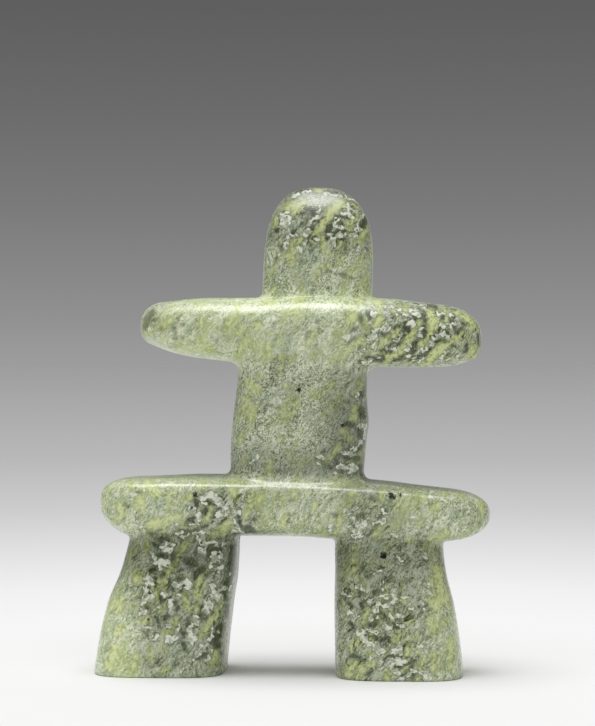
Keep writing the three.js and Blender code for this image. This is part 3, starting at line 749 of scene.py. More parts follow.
# Yellow-green streaks and patches with soft edges.
LIME = [
    # head
    (4.6, 18.6, 192.6, 15.8, 189.6), (4.2, 15.8, 189.6, 13, 185.2), (3.6, 13, 185.2, 10.6, 182),
    (2.6, 10.6, 182, 8.6, 179.4), (1.6, 8.6, 179.4, 7.4, 177.6), (2.2, 20.2, 193.6, 20.8, 191.6),
    (4.6, -1.6, 191.2, 3.4, 192.4), (3.6, 0.4, 189.6, 1.6, 188.6), (3, 3.6, 190.6, 4.2, 193.4),
    (2, 8, 198.8, 11, 198.6), (2.4, 25.8, 189, 26.2, 186.4), (2.6, 23.4, 185.4, 22.2, 181),
    (1.6, 23.8, 192.4, 25.4, 191.4), (2.8, 19.6, 176.6, 18.6, 174.4), (2.4, 12.6, 178.6, 12.4, 173.2),
    (3, 3, 177.2, 0.4, 175.4), (3.4, 0, 174.6, -1.4, 170.6), (1.4, 2.3, 171.4),
    (1.8, -7, 187, -7.8, 184), (3, 29.2, 182, 27.2, 177.4), (2, 32, 173, 32, 170.5),
    (2.8, 0.2, 170.2, -0.6, 167.6), (2, 14, 167.6, 14.6, 166), (2, 20, 170.4, 18.8, 168),
    (2.4, 15.4, 171.8), (2.4, 29.4, 162, 28, 158.6), (1.8, -8, 166.4, -9.8, 163), (3, -8, 158),
    (1.2, 1, 162.6), (1.4, 3, 160.4, 3.6, 157.6),
    # left arm
    (3.2, -52.6, 142.6, -50, 144.8), (2.4, -60.6, 139.8, -57.4, 140.8), (2.4, -38, 142.6, -36.4, 146),
    (1.6, -22, 130.8, -21, 134, -18.8, 138), (3, -14.6, 141.4, -13.2, 143.6),
    (1.4, -22.8, 151, -22.2, 145.4), (1.4, -36, 132, -32, 133.6), (1.4, -47, 134.6, -43, 135.6),
    (2.2, -27.4, 141, -25.6, 144.4), (1.6, -16.5, 146), (1.8, -38.8, 138, -38.2, 135),
    (1.6, -21.8, 139.6, -20.2, 141.4), (1.3, -31, 140.4, -30.6, 141.4),
    # middle of the arms
    (3.2, 23.4, 143.4, 24.8, 147.2), (2.6, 29, 138, 26, 135.2), (1.8, 9.6, 140.6, 8, 137.4, 6.4, 134.6),
    (1.8, -4.6, 138.6, -5.2, 136), (2.6, -9.2, 134.4, -10, 131.6), (3.4, 34.2, 143, 35.6, 145.6),
    (2.2, 26.6, 151.6, 27.8, 152.8), (3.5, 33.6, 152.4, 35.6, 150.4), (2, -8, 152),
    (1.6, 1, 131, -0.2, 129), (3, -4, 129.5), (2.4, 22.4, 133, 24, 135), (1.6, 11.5, 131),
    (2.2, 29, 143.6, 30.4, 141), (1.4, 6.4, 146.5),
    # right arm
    (4.7, 56.4, 142.2, 57, 145), (3.9, 55, 146.6, 56.6, 147.4), (2.9, 54.4, 148.4, 55.6, 148.2),
    (2.1, 57.4, 149, 58, 148.4), (1.9, 58.9, 143.6, 58.6, 146), (2.3, 55.6, 141, 56.6, 139),
    (3.3, 55, 138.6, 51.6, 134.6), (2.3, 51.4, 134.4, 50.8, 133.4), (4.9, 61.6, 134.2, 57.4, 131),
    (3.7, 64, 136.4, 60, 133.6), (3.3, 57, 130.6, 55.6, 129), (2.3, 56.6, 128.6, 54.6, 127.4),
    (1.9, 53.4, 126.8, 51.4, 126), (2.9, 66.4, 137.2, 69, 139.4), (2.1, 51.4, 143.6, 49, 141),
    (3.1, 48.4, 139.4, 46, 135.6), (2.7, 45.4, 135, 44.4, 132.6), (3.7, 43.6, 131.4, 41, 130),
    (2.9, 41, 130, 38.2, 130.4), (2.3, 38.6, 128.6, 38, 127.6), (2.7, 42.6, 140.4, 41.2, 138.8),
    (2.5, 38.6, 137.4, 35.6, 134), (1.7, 35.4, 133.4, 34.8, 132.4), (3.3, 35.6, 144.2, 34, 142.4),
    (2.1, 35.4, 149.4, 34.8, 147.6), (2.1, 45.6, 149.6, 46.2, 148.6),
    (1.9, 41.4, 148.8, 42, 147.6), (2.1, 61.6, 149.4, 62.2, 148), (2.1, 62.4, 146.6, 62, 144.6),
    (2.9, 66.6, 148.4, 71, 146), (3.3, 71, 145, 73.6, 142), (2.7, 74, 135, 72.2, 131.6),
    (2.3, 71.6, 130.4, 73.4, 130.6),
    # trunk
    (5, -17.6, 119, -14.6, 117), (3.6, -18.6, 113, -19.4, 109.6), (3.4, -16.8, 108.4, -17, 105),
    (2.4, -21, 98, -21.6, 95.6), (1.8, -2, 118.6, -3, 116.8), (1.8, 1.6, 113.6, 1, 110.4),
    (1.6, 0.6, 107.6, -1.2, 106.6, -3.6, 103), (1.4, 8.6, 116, 7.8, 114), (1.8, 16.2, 119, 15.8, 117),
    (3.2, 24.4, 104.8, 25.4, 109), (2.2, 27.8, 118.6, 25.6, 115), (3.2, 20.8, 99.8, 23, 97),
    (2.2, 19, 94, 16.6, 90.8), (1.8, 16, 90, 13, 87), (2.2, 27.6, 90.8, 26.6, 88.4),
    (1.8, 29.6, 94.4, 28.6, 91.6), (2.5, -13, 122.5), (2.2, -8.8, 87.6, -9.8, 83),
    # hips
    (5, -62.4, 71.6, -62, 70), (4.2, -70.4, 69.5, -69.6, 66.4), (4.5, -57, 62, -51.5, 62.6),
    (2.4, -52.6, 59.6), (3, -49, 64.2, -45.4, 65.4), (4.5, -56.6, 76.5, -55.4, 74.4),
    (1.8, -48.8, 76, -50.4, 71.4), (3, -59.6, 79), (1.6, -58, 81), (2.4, -41, 74, -43, 71.4),
    (2, -66.8, 78.6, -65.4, 77), (2.5, -73, 63.6, -70, 64.4), (2.2, -32.4, 69.2, -33.4, 66.8),
    (2.4, -34, 66, -35.2, 63.2), (3, -24, 76, -23.2, 73.4), (3.6, -25.8, 63, -28.2, 60.6),
    (3.4, -29, 59, -27.6, 59.2), (1.8, -32, 58), (2.4, -18.4, 66, -17, 69.4),
    (2.6, -16.6, 72, -16.2, 74.4), (1.8, -19.5, 64.5), (3, -14.5, 71, -12.4, 74), (2, -12.5, 79.5),
    (2.4, 0.4, 75.6, 1.2, 73), (1.8, -3.2, 72.6, -4, 70), (1.6, 10, 71.4, 8.6, 68.2), (2.4, 2.2, 79.5),
    (2.6, -3.6, 61.6, -2.6, 65.6), (1.2, 18.7, 69), (2.2, 19.4, 65.4, 18.6, 60.8),
    (2.4, 13, 60.4, 12.8, 58.2), (3.6, 24, 75), (1.2, 28.2, 71.5), (2.4, 33, 57.4, 35.2, 61.6),
    (1, 14, 65), (2.5, 17.5, 58.5), (2.4, 36.2, 75.6, 35.8, 73), (1.4, 50.8, 76, 50.6, 72),
    (2.4, 53, 73.5), (2.6, 58.6, 70, 58, 68.6), (2.6, 76.8, 71.4, 76.8, 66), (3.5, 62, 75),
    (2.2, 66.8, 74.4, 69.4, 73.6), (1, 44.5, 76.8, 46.5, 76.4), (1.6, 41.2, 60.6, 42.6, 62),
    (2.4, 47.8, 56), (1.4, 55.8, 57), (3, 60, 56.5), (3.5, 61.5, 59),
    # left leg
    (3, -73.4, 30, -74, 27), (3.5, -70, 20, -71, 17.4), (5, -71.6, 11, -74.2, 4.4),
    (3.4, -62.5, 42, -63, 39.5), (2, -59.2, 53.5, -58.7, 50.5), (2.6, -46.8, 47.5, -49, 44.5),
    (2.2, -49.5, 43.8, -51, 42), (2.4, -52, 41, -54.5, 38, -55.3, 35, -54.4, 31.5),
    (3, -52.5, 39.5, -51, 37.5), (4, -37.8, 40, -37.2, 37.5), (3.6, -38, 36, -38.2, 33.5),
    (1.5, -37.5, 30.5), (1.6, -34.6, 44, -34.2, 42.5), (3, -45, 51, -43, 54),
    (3, -43.2, 33, -42.2, 28.4), (1.6, -29.5, 28, -28, 31, -26.3, 34), (2.2, -53, 27.5, -51.5, 29.5),
    (4, -69.5, 31, -71, 27), (2.6, -59.8, 22.6, -58.2, 23.8), (2.4, -31.5, 24, -30, 27.5),
    (2.8, -31.5, 25, -33.5, 21.8, -36.2, 17.5), (2.5, -46.5, 24, -48, 20), (2, -52, 18.5, -50, 19),
    (2, -39, 29, -38.5, 27), (2.2, -57.5, 12.5, -57, 11), (2.8, -31.8, 10, -31.6, 6),
    (1.8, -68.5, 19.5, -69, 21),
    (2.6, -63, 9, -64.5, 4), (2.2, -52, 2.5, -50.5, 4.5), (2, -58, 8.5, -56.5, 7.8), (1.2, -46.2, 48.9),
    # right leg
    (1.5, 39.3, 34.4, 38.8, 32.6, 37.2, 31.8), (1.8, 24.8, 52.8), (2.2, 25.6, 45.8, 24.6, 43.6),
    (1.4, 24.6, 47.8), (2.2, 57.2, 41.5, 56.2, 38), (2.2, 44, 32.5, 45.6, 32.6),
    (2.2, 31.2, 28.6, 30.2, 26), (4, 59, 44, 60, 36), (5, 58, 31, 62, 33),
    (1.6, 29.2, 25.4, 28.6, 23.2), (2.2, 32, 17.2, 33, 18.2), (2, 31.2, 10.6, 33, 11.8),
    (1.6, 37.4, 11.2, 38.6, 12.5), (2, 41.6, 16.4, 42.8, 18.6, 43.6, 20.4),
    (2.8, 26.6, 16.4, 25.2, 14.2), (2, 23.8, 12.6), (2.8, 45.8, 11.4, 46.6, 13.2),
    (1.2, 48.6, 9, 46.8, 6.6, 45.6, 4), (1.4, 51.7, 5.3, 53.5, 8.8), (2, 57.2, 10.8, 56.8, 8.6),
    (1.8, 56.6, 4.4, 57.6, 5.6), (2.4, 39.4, 4, 38.2, 1), (2.2, 49.2, 0.6, 51.6, 1.4),
    (4, 23.4, 5.6, 23.4, 2.8), (3.6, 26.6, 7, 28.4, 5), (2.4, 30.8, 6.6, 33, 7.6),
    (2.2, 27.8, 2.4, 26.2, 1.4), (2, 46.2, 23.4, 48, 24.8), (3.5, 56, 24.5, 57.4, 20.5), (3, 58.5, 29),
    (1.8, 62.5, 23.5), (3, 64, 16, 63.8, 5), (2.5, 51, 12), (1.5, 57.8, 18.8),
]

# Dark ground between the fragments.
DARK = [
    # head
    (1.4, 13.2, 198, 17, 197.4), (1, 1, 198, 5, 199), (1.2, 24, 195.6, 27, 193.8),
    (1.8, 5, 190.8, 6.8, 190), (2.4, 7.4, 189.6, 8.8, 188.6), (1.2, 17.6, 187.4, 16, 184.8),
    (2.2, 15.4, 183.4, 14, 181.2), (0.8, 13.8, 179.6, 13.6, 177.6), (1.2, 18.6, 187.4, 22.4, 186.8),
    (1.6, 18.4, 184.9, 20, 184.2), (1.3, 16.8, 180.2, 18.4, 181.2, 21, 181.4),
    (0.9, 17, 179, 20.4, 178), (2, 29, 187, 28.2, 183.4), (0.8, 27.4, 182.6, 28, 182.4),
    (0.8, 26.8, 181.4, 26, 180.4), (1.2, 0.4, 181.6, 0, 179.8), (0.9, 5.9, 185, 5.4, 182),
    (1.2, 8.2, 185.6, 10, 185.4), (1, 8.4, 183.6, 7.8, 182), (0.8, 6.8, 179.4, 5.8, 176.6),
    (0.8, 17.8, 176.6, 16.8, 174), (0.9, 21, 175.4, 20.8, 173.6), (1, 1.6, 188.2, 4.6, 189),
    (2, -7, 181.6), (1.6, -5, 175), (1.4, -6.8, 170), (0.8, 4, 169.4, 3, 168.6),
    (1, 13.8, 165, 15, 164.8), (1.2, 19, 163.8, 21.6, 163), (0.8, 23.2, 162.6, 23.6, 161.8),
    # arms
    (2.4, -61, 142, -60.2, 145, -57.6, 148.2), (1.4, -57.6, 144.4, -56.6, 145.2),
    (1, -48.8, 142.6, -48.2, 141), (1.3, -47.6, 139.6, -48.2, 137.6), (1, -45, 137.6), (1, -44.4, 143),
    (0.9, -53.3, 141.6), (0.8, -16.6, 146.9), (0.8, -38.6, 142), (0.8, -30.5, 136.4),
    (0.9, 10, 144.8, 10.3, 143.8), (0.8, -7.4, 143.4), (0.9, 6.8, 139.8, 6, 137.6),
    (1.2, 24.6, 140.6, 26.4, 141.6), (1.2, 25, 137.6, 22.6, 135.8), (1.2, 27.6, 147.4, 28.2, 143),
    (1.4, 30.4, 147.6, 31.4, 146), (0.9, 30.5, 138.2), (1.2, 27.2, 133.8), (0.9, 32.5, 140.4),
    (1.6, 30, 129.8, 32, 129), (1.3, 33.8, 129, 36, 128.6), (0.7, 36.4, 130, 36.8, 129),
    (0.7, 35.6, 132.4, 37.4, 132.6), (1.6, 47.8, 145.4, 49.6, 145.6), (0.7, 45.2, 143.4, 46.2, 143.8),
    (1.2, 42.8, 142.6, 43.4, 142.2), (1.7, 45.6, 141.6, 47, 140.4), (1.1, 45, 140, 44.6, 138),
    (1.5, 53.4, 146.6, 53.6, 144, 53.2, 141), (0.7, 54, 147.2, 52.4, 148.8, 51.6, 149.6),
    (1.5, 53.6, 140, 52.6, 137.6), (1.3, 51.8, 137.4, 50.6, 136.4),
    (1.7, 50.2, 136, 49, 133.4, 48.2, 131.4), (1.1, 47.4, 130.6, 46.2, 131),
    (1.1, 51, 130.6, 53.8, 131), (0.7, 54.2, 131.6, 55.6, 133), (0.9, 55.4, 133.2, 57.6, 134.8),
    (0.8, 58.2, 135.8, 60.4, 137, 62.4, 136.2), (0.9, 62.2, 140.4, 63.4, 138.6),
    (0.7, 65.2, 142.2, 66, 142), (1.3, 67.6, 141, 66.8, 139.6), (1.3, 62.8, 131.6, 63, 130.8),
    (0.7, 64, 134.4, 65.6, 134.2), (0.9, 70.6, 135, 70, 132), (0.8, 41, 128.2, 44.4, 129.4, 45, 130.6),
    (0.9, 47.4, 128.8, 49.2, 129.6), (1.1, 49.6, 129.2, 51, 129.4), (0.7, 38.4, 132, 39.6, 131.8),
    (0.9, 40.4, 134.8, 41.6, 135.2, 43.4, 135.6), (0.7, 27.4, 127.8, 28.4, 127.6),
    (0.9, 54.8, 151, 57.6, 151), (0.9, 58, 150.4, 58.4, 148.2), (0.7, 60.2, 147, 60.2, 145.4),
    (0.7, 61, 147, 61, 145.6), (0.7, 63.8, 145.4, 64, 144.2), (0.7, 65.2, 146.4, 65, 144.4),
    (0.9, 40, 142.2, 41.4, 141.6), (0.7, 39, 140.8, 39.4, 139.8), (0.7, 44, 140.6, 43.4, 138.4),
    (0.7, 44.8, 138.4, 43.6, 136.6, 42, 135), (0.7, 45.2, 147, 44.6, 146), (0.7, 75.4, 139, 75.6, 135),
    (0.7, 36.4, 139.6, 37.6, 138.6),
    # trunk
    (0.9, -11.6, 107, -11.2, 110, -8.6, 110.2), (0.9, -13.6, 102.8), (1, 22.2, 102.2, 24.4, 101.8),
    (1.4, 26.4, 100.8, 27.6, 97.4), (1.2, 28.4, 95, 26.4, 92, 23, 92.2), (0.8, 30.4, 104, 31, 100.6),
    (1.4, 27.4, 108.8, 27.8, 105.4), (1.6, 18.6, 90, 22, 88.8, 26.6, 88.6), (1.8, 17.6, 88, 18, 86),
    (1.4, 22.4, 85.4, 20, 83.6), (2.4, 27.4, 85, 28.6, 82.6), (1.4, 13.4, 86, 15.6, 84.8),
    (1, 9.6, 88.6, 12.4, 88), (1.4, 21.6, 103, 23.4, 102.4), (1, 27.4, 115.6, 27.6, 114),
    (1, 20.6, 109), (1.2, 22.8, 111.6), (1, -5.6, 109.4),
    # hips
    (2.4, -41.6, 63.6, -40.2, 63.9), (2.2, -38.8, 70.6, -38.2, 69.6), (1.2, -38.8, 72.2),
    (1.8, -35.2, 68, -36, 66.6), (1.2, -34.4, 71.3, -33.4, 70.8), (1.2, -31.4, 67.4, -32, 65),
    (1, -31.4, 70.8, -30.2, 70, -30, 68.6), (0.9, -27.2, 64.2, -29.4, 62.6),
    (0.9, -36.4, 60.8, -34.6, 61.6), (1.2, -21.2, 65.2, -21.2, 62.4, -20.2, 60.4),
    (1.8, -18.4, 60.8, -16, 60.2), (1.2, -18.8, 58.7, -15.2, 58.6), (1.2, -15, 64.3),
    (1.2, -24, 57.8, -22, 57.5), (0.8, -46, 59.8, -43.6, 59.2, -38.4, 59.8), (1.4, -46, 56.4),
    (1.8, -56, 56.2), (1.4, -58.8, 58.6, -57, 57.8), (2.2, -53, 55.8, -50.8, 55.6),
    (0.7, -68.6, 70, -66, 69.1), (0.7, -64, 75, -60.5, 75), (0.8, -28.8, 73.2), (0.8, -55, 68.8),
    (0.8, -53.8, 69), (1.8, 27, 65.6, 29, 66), (0.9, 29, 64.8), (0.8, -7, 65.1),
    (0.7, 35, 62.8, 33, 60.4, 30.8, 57.6), (1.6, 16.4, 66.6, 17.8, 66), (0.9, 25.2, 61.4),
    (0.9, 31.4, 73, 33.4, 72.2), (0.8, 35, 65, 37.8, 67.8), (1, -0.8, 71.8),
    (1.4, 37.6, 68, 38.4, 67.2), (0.9, 51.2, 68.6), (1.2, 44.6, 78.3, 47.4, 77.8),
    (1, 70.1, 68, 69.7, 66.6), (0.8, 63.2, 62.3), (0.8, 75.8, 62), (0.9, 40.4, 72.4),
    # left leg
    (3, -41.2, 47.2, -39.8, 46.4), (0.7, -38.8, 52, -39.3, 50), (2, -57.3, 43.4, -55.6, 43.8),
    (1.4, -55.4, 40.2), (1.4, -56.8, 54.5, -55, 53), (1.4, -34.4, 51.6, -32.6, 52.4),
    (1, -30.5, 52, -29.3, 51.2), (2, -35.6, 44.2, -38.6, 42.6, -39.4, 40.6), (0.8, -35, 41.3),
    (1, -33.4, 42.6), (1.4, -25.6, 40.4, -26, 38.4), (1.4, -28, 38.5, -26, 36.8),
    (0.8, -28.5, 34.6, -26.3, 34.2), (0.9, -45, 35.4), (1.4, -46.8, 40.4, -44.6, 40.2),
    (0.8, -48.5, 37, -48, 35.5), (1, -36.5, 29, -36.2, 28.4), (1.4, -59, 28.8),
    (1.8, -24.5, 52, -24.8, 44, -25, 40), (1.6, -36.6, 25.2, -35, 24), (0.8, -41.8, 22.4, -42.3, 20.8),
    (3, -29.5, 20, -30, 17, -32.5, 16, -30.5, 12.5), (1, -27, 24, -26.6, 28.5),
    (1.6, -50.5, 25, -51.5, 24), (0.8, -50, 29.3), (0.8, -49.5, 13.8), (1.4, -43.6, 14, -43.4, 11.6),
    (1, -39.3, 8, -37.5, 7.9), (0.8, -58.5, 19.5), (1.4, -54, 49.4, -52, 49.2),
    (1.2, -48.5, 50, -48, 47.8), (1.2, -43.5, 47.6, -42, 45.4), (1.2, -53.4, 33, -53, 31.4),
    (1.2, -47, 31, -46.4, 28), (1, -55, 24.5, -53.4, 22), (1.2, -44.6, 19, -43.6, 17),
    (0.8, -61.5, 20, -58, 17), (1.1, -35, 9.8, -36.2, 8.6), (1, -29, 9), (1.2, -27.4, 33, -26.8, 31),
    # right leg
    (0.8, 30.5, 43.4), (1, 30.4, 41.8), (0.8, 22.2, 34.9), (1.2, 27.6, 35.8, 27.2, 33.8),
    (1, 21.2, 32.6), (0.8, 33.5, 35.5, 34.5, 36.4), (0.7, 32, 30, 33.5, 30.3), (0.7, 37, 31, 38, 30.8),
    (0.7, 40, 10.2, 44, 9.9), (0.8, 30.4, 19.4, 31, 18.2), (0.7, 33.4, 18.6, 34.2, 17.4),
    (1.8, 36.6, 16.8, 38.6, 17.4), (1.2, 41.4, 23.2, 42.2, 22.8), (0.8, 40.8, 21.4, 43, 21.8),
    (0.8, 49, 8.4, 48.2, 5.4), (1.4, 46.2, 3.4, 49.2, 3.2), (0.7, 49.6, 2.2, 48.6, 0.9),
    (0.7, 32.4, 4.4, 30.6, 2.7), (1, 23.4, 23, 25, 20.8), (1.5, 24, 10, 27, 9.4), (1, 55.6, 13.5),
    (0.7, 55.4, 4.4, 55.7, 2.2), (0.7, 53, 2.2, 52.8, 0.2), (0.7, 44.4, 12.6, 45, 14.2, 46.6, 15.8),
    (0.7, 41, 6.2, 44, 6.3), (0.8, 33.6, 25, 34, 22.6), (0.8, 37, 27, 38, 25), (0.8, 43, 24.8),
    (0.7, 31, 22.6, 33, 22), (1, 35, 9.5), (1.2, 24, 29.6, 22.6, 31), (1, 28, 31, 28.6, 28.6),
]

# Grey veils, paler than the ground and almost smooth, and three long thin painted reflections
# of the pale floor along the undersides.
VEILS_AND_PAINTED_REFLECTIONS = [
    (2, -2, 181.6, -1.6, 178.4), (1, 24.6, 190.4, 23.2, 191), (1, 11, 171.2, 12.6, 172.6),
    # Painted reflections of the pale floor: the last veil on the next line and the first veils on the
    # two lines after it, along the arms' undersides and under the hips' left end.
    (1.6, 20, 161.6), (1.2, 16, 164.4), (2, -59.5, 137, -54.5, 132.8, -47, 130, -38, 128, -30, 126.8),
    (1.6, 33, 126.4, 44, 126, 56, 126, 64, 126.8, 70, 128.2, 73.8, 130),
    (1.8, -77.4, 63.8, -73.4, 60.6, -68, 58.8), (1.4, -49, 139), (1.2, -30, 133),
    (0.7, -26.5, 139.5, -25.5, 141), (1.4, -1.2, 131.4, 1.4, 132.6), (0.9, -7, 132.6, -5, 131.2),
    (1.6, 34.5, 134.5, 33.2, 133), (2.4, 37.5, 147.6, 38.6, 145), (1.6, -12.4, 92.6, -10, 94),
    (1.4, -17.4, 93.2, -15.4, 96), (1.2, 22.5, 110.6), (1.6, 24.6, 122.6, 25.6, 121.6),
    (2.2, -57.5, 67), (2.4, -53, 66.8), (3, -33.4, 62.6, -31.4, 61.6), (1.8, -11, 68.4, -10, 66.8),
    (1.8, 31.4, 76, 31.6, 74), (2, 52.6, 69.2, 54.2, 66.6), (3, -44.6, 46.4, -42, 43.6),
    (2.4, -37.6, 49.8, -36.6, 47.6), (2.2, -49.6, 50, -48.8, 48.8), (3, -61, 13.5, -60, 12),
    (2, -54.5, 11.5), (3, 25.5, 30.4), (1.8, 34.3, 37.3), (1.8, 48.2, 44.4),
    (2.6, 49, 34.6, 49.6, 31.6), (2, 47.5, 37, 49, 36), (2.4, 33.6, 53.5), (1.6, 47.5, 53.5),
    (3.5, 33, 2.6, 35.5, 1.8), (1.4, 52.8, 24, 52.2, 21), (1.4, 63.2, 8, 62.8, 6.5),
]

# Small round holes: place and radius. They are sunk into the mesh and also filled with painted shade.
PITS = [
    ((2.6, 116.8), 0.85), ((20.6, 102.3), 0.6), ((-39.3, 74.1), 0.85), ((40.1, 74), 1.1),
    ((41.1, 73.6), 0.9), ((43.7, 74.3), 0.6), ((37.1, 49.7), 1.3), ((-58.2, 36.8), 0.45),
    ((-57.6, 34.5), 0.5), ((-44.2, 36.9), 0.5), ((-30, 49.9), 0.5), ((-40.5, 68.9), 0.5),
]

# Soft swellings of the surface, and hollows where the height is negative: place, reach across
# and up, height.
SWELLINGS = [
    (31.5, 102.8, 4.5, 5.5, 0.9),
    (30.5, 112, 4, 16, 0.3),
    (-40.5, 46.8, 2.2, 2, -0.6),
    (-57.5, 133.5, 6, 3.5, -1.1),
    (74, 130.6, 3.5, 3, 0.9),
]

# Soft zones of the stone: place (x, z), reach across and up, tone, how broken the stone is, how
# strongly its fine grain shows, and the roughness of its polish. Most tones are the stone's own;
# some rows paint highlights on lit top edges, and some paint shade, as marked below.
ZONES = [
    (12, 181, 22, 7, 0.78, 1.0, 0.9, 0.52),
    # These three rows darken the head's top: partly its darker stone, partly painted shade that dims the
    # light and the highlight on the top.
    (12, 189.5, 24, 3, 0.7, 1.0, 0.9, 0.8),
    (12, 199, 26, 4, 0.5, 0.95, 0.8, 0.75),
    (11, 194.5, 8, 2.7, 0.64, 0.15, 0.25, 0.38),
    (8, 165, 24, 11, 1.02, 0.35, 1.3, 0.42),
    # Painted highlight: these two rows brighten the arms' lit top edge in front of the head and the
    # highlight row just below it.
    (9, 153.4, 27, 3, 2.05, 0.1, 0.4, 0.48),
    (4, 150.5, 20, 2, 1.4, 0.1, 0.1, 0.44),
    (-34, 141, 26, 12, 1.2, 0.15, 0.35, 0.6),
    (-57, 145, 7, 8, 0.98, 0.4, 0.8, 0.85),
    (8, 140, 20, 11, 1.16, 0.2, 0.5, 0.52),
    (52, 137, 24, 12, 0.98, 1.0, 0.7, 1.0),
    # This row darkens the right arm's top edge: partly its dark marks, partly painted shade that dims
    # the light on the top.
    (56, 151, 20, 4, 0.62, 1.0, 0.7, 1.0),
    (-8, 110, 18, 16, 0.92, 0.4, 1.5, 0.45),
    (24, 98, 9, 18, 0.48, 0.8, 1.2, 0.5),
    (22, 98.5, 4.5, 3.5, 0.3, 0.5, 1.0, 0.5),
    (0, 86, 28, 6, 0.56, 0.5, 1.5, 0.5),
    # Painted highlight: these two rows brighten the hips' lit top edge.
    (-30, 79, 45, 2.5, 1.32, 0.1, 0.25, 0.34),
    (8, 78.5, 16, 2.5, 1.15, 0.1, 0.25, 0.34),
    (-60, 69, 18, 10, 1.22, 0.3, 0.5, 0.47),
    (-32, 67, 12, 9, 0.82, 1.0, 0.8, 0.34),
    (4, 67, 15, 9, 1.08, 0.4, 0.6, 0.31),
    (29, 64, 12, 9, 0.9, 0.7, 0.6, 0.38),
    (60, 68, 20, 11, 1.1, 0.35, 0.7, 0.46),
    # This row darkens the left leg's top under the hips: partly its dark ground, partly painted shade.
    (-40, 50, 22, 8, 0.3, 0.9, 0.9, 0.5),
    (-44, 32, 18, 12, 0.64, 1.0, 0.9, 0.48),
    (-70, 14, 8, 18, 1.35, 0.15, 0.6, 0.45),
    (-42, 10, 18, 9, 0.8, 0.8, 0.8, 0.45),
    # This row darkens the right leg's top under the hips: partly its dark ground, partly painted shade.
    (38, 49, 24, 9, 0.48, 0.85, 1.1, 0.5),
    (38, 30, 18, 10, 0.7, 0.85, 1.1, 0.48),
    (36, 12, 17, 11, 0.88, 1.0, 1.0, 0.48),
    (62, 20, 8, 22, 1.08, 0.15, 0.6, 0.45),
]

# Between the zones the stone has these values, and they weigh so much everywhere.
PLAIN_STONE = (1.0, 0.4, 0.7, 0.42)
PLAIN_WEIGHT = 0.05

# A place further outside all marks than this, in millimetres, counts as no further.
FAR_OUTSIDE = 4.0

# The pattern is drawn where a normal's Y is below FRONT_EDGE, and in full FRONT_FADE further on.
FRONT_EDGE = 0.05
FRONT_FADE = 0.25


def reach_inside(marks, x, z):
    """How far inside a mark each place lies, in millimetres, and negative outside."""
    field = np.full(len(x), -FAR_OUTSIDE)
    for width, *flat in marks:
        line = list(zip(flat[::2], flat[1::2]))
        for (ax, az), (bx, bz) in zip(line, line[1:] or line):
            reach = width / 2 + FAR_OUTSIDE
            near = np.flatnonzero(
                (x > min(ax, bx) - reach) & (x < max(ax, bx) + reach)
                & (z > min(az, bz) - reach) & (z < max(az, bz) + reach)
            )
            dx, dz = bx - ax, bz - az
            long = dx * dx + dz * dz or 1.0
            share = np.clip(((x[near] - ax) * dx + (z[near] - az) * dz) / long, 0, 1)
            off = np.hypot(x[near] - ax - share * dx, z[near] - az - share * dz)
            field[near] = np.maximum(field[near], width / 2 - off)
    return field


def zone_values(x, z):
    """The tone, with its painted highlights and painted shade, and the brokenness, grain and
    roughness at each place, blended between the zones.
    """
    total = np.full(len(x), PLAIN_WEIGHT)
    values = np.outer(PLAIN_STONE, total)
    for zone_x, zone_z, across, up, *own in ZONES:
        weight = np.exp(-(((x - zone_x) / across) ** 2 + ((z - zone_z) / up) ** 2))
        total += weight
        values += np.outer(own, weight)
    return values / total


def draw_pattern(mesh):
    """Keeps the pattern on the mesh, for the stone's material to read."""
    points = points_of(mesh) / MM
    x, z = points[:, X], points[:, Z]
    front = np.clip((FRONT_EDGE - normals_of(mesh)[:, Y]) / FRONT_FADE, 0, 1)
    layers = dict(zip(("tone", "broken", "grain", "dullness"), zone_values(x, z)))
    layers["front"] = front
    pit_shade_marks = [(2 * radius, *pit) for pit, radius in PITS]
    drawn = {"flakes_and_rim_highlights": FLAKES_AND_RIM_HIGHLIGHTS, "lime": LIME, "dark": DARK, "veils_and_painted_reflections": VEILS_AND_PAINTED_REFLECTIONS, "pits": pit_shade_marks}
    for name, marks in drawn.items():
        layers[name] = reach_inside(marks, x, z) - (1 - front) * FAR_OUTSIDE
    for name, values in layers.items():
        mesh.attributes.new(name, "FLOAT", "POINT").data.foreach_set("value", values)


# The stone. Its textures are sized in millimetres, along the veins and across them.

VEIN_ANGLE = math.radians(57)

GROUND = [
    (0.2, colour(86, 101, 64)),
    (0.36, colour(132, 145, 106)),
    (0.48, colour(173, 184, 148)),
    (0.58, colour(203, 209, 179)),
    (0.72, colour(233, 236, 214)),
]
OLIVE = colour(178, 188, 108)
BLUISH = colour(150, 168, 148)
HAIR = colour(222, 228, 204)
# This grey also paints the floor's reflection along the undersides.
VEIL_AND_PAINTED_REFLECTION = colour(200, 208, 188)
FLECK = colour(36, 54, 24)
CRUMB = colour(190, 198, 166)
LIME_DEEP = colour(136, 150, 78)
LIME_PALE = colour(216, 223, 158)
DARK_DEEP = colour(12, 20, 4)
DARK_PALE = colour(96, 108, 70)
FLAKE_RIM = colour(70, 80, 54)
FLAKE_DULL = colour(166, 175, 150)
FLAKE_PALE = colour(235, 238, 218)
# Painted shade: the near-black that fills the pits stands for the shade inside them.
PIT_SHADE = colour(20, 24, 10)

# The cells that the fragments on the sides and the back are picked from.
WILD_FLAKE = (4.2, 2.6, 2.6)


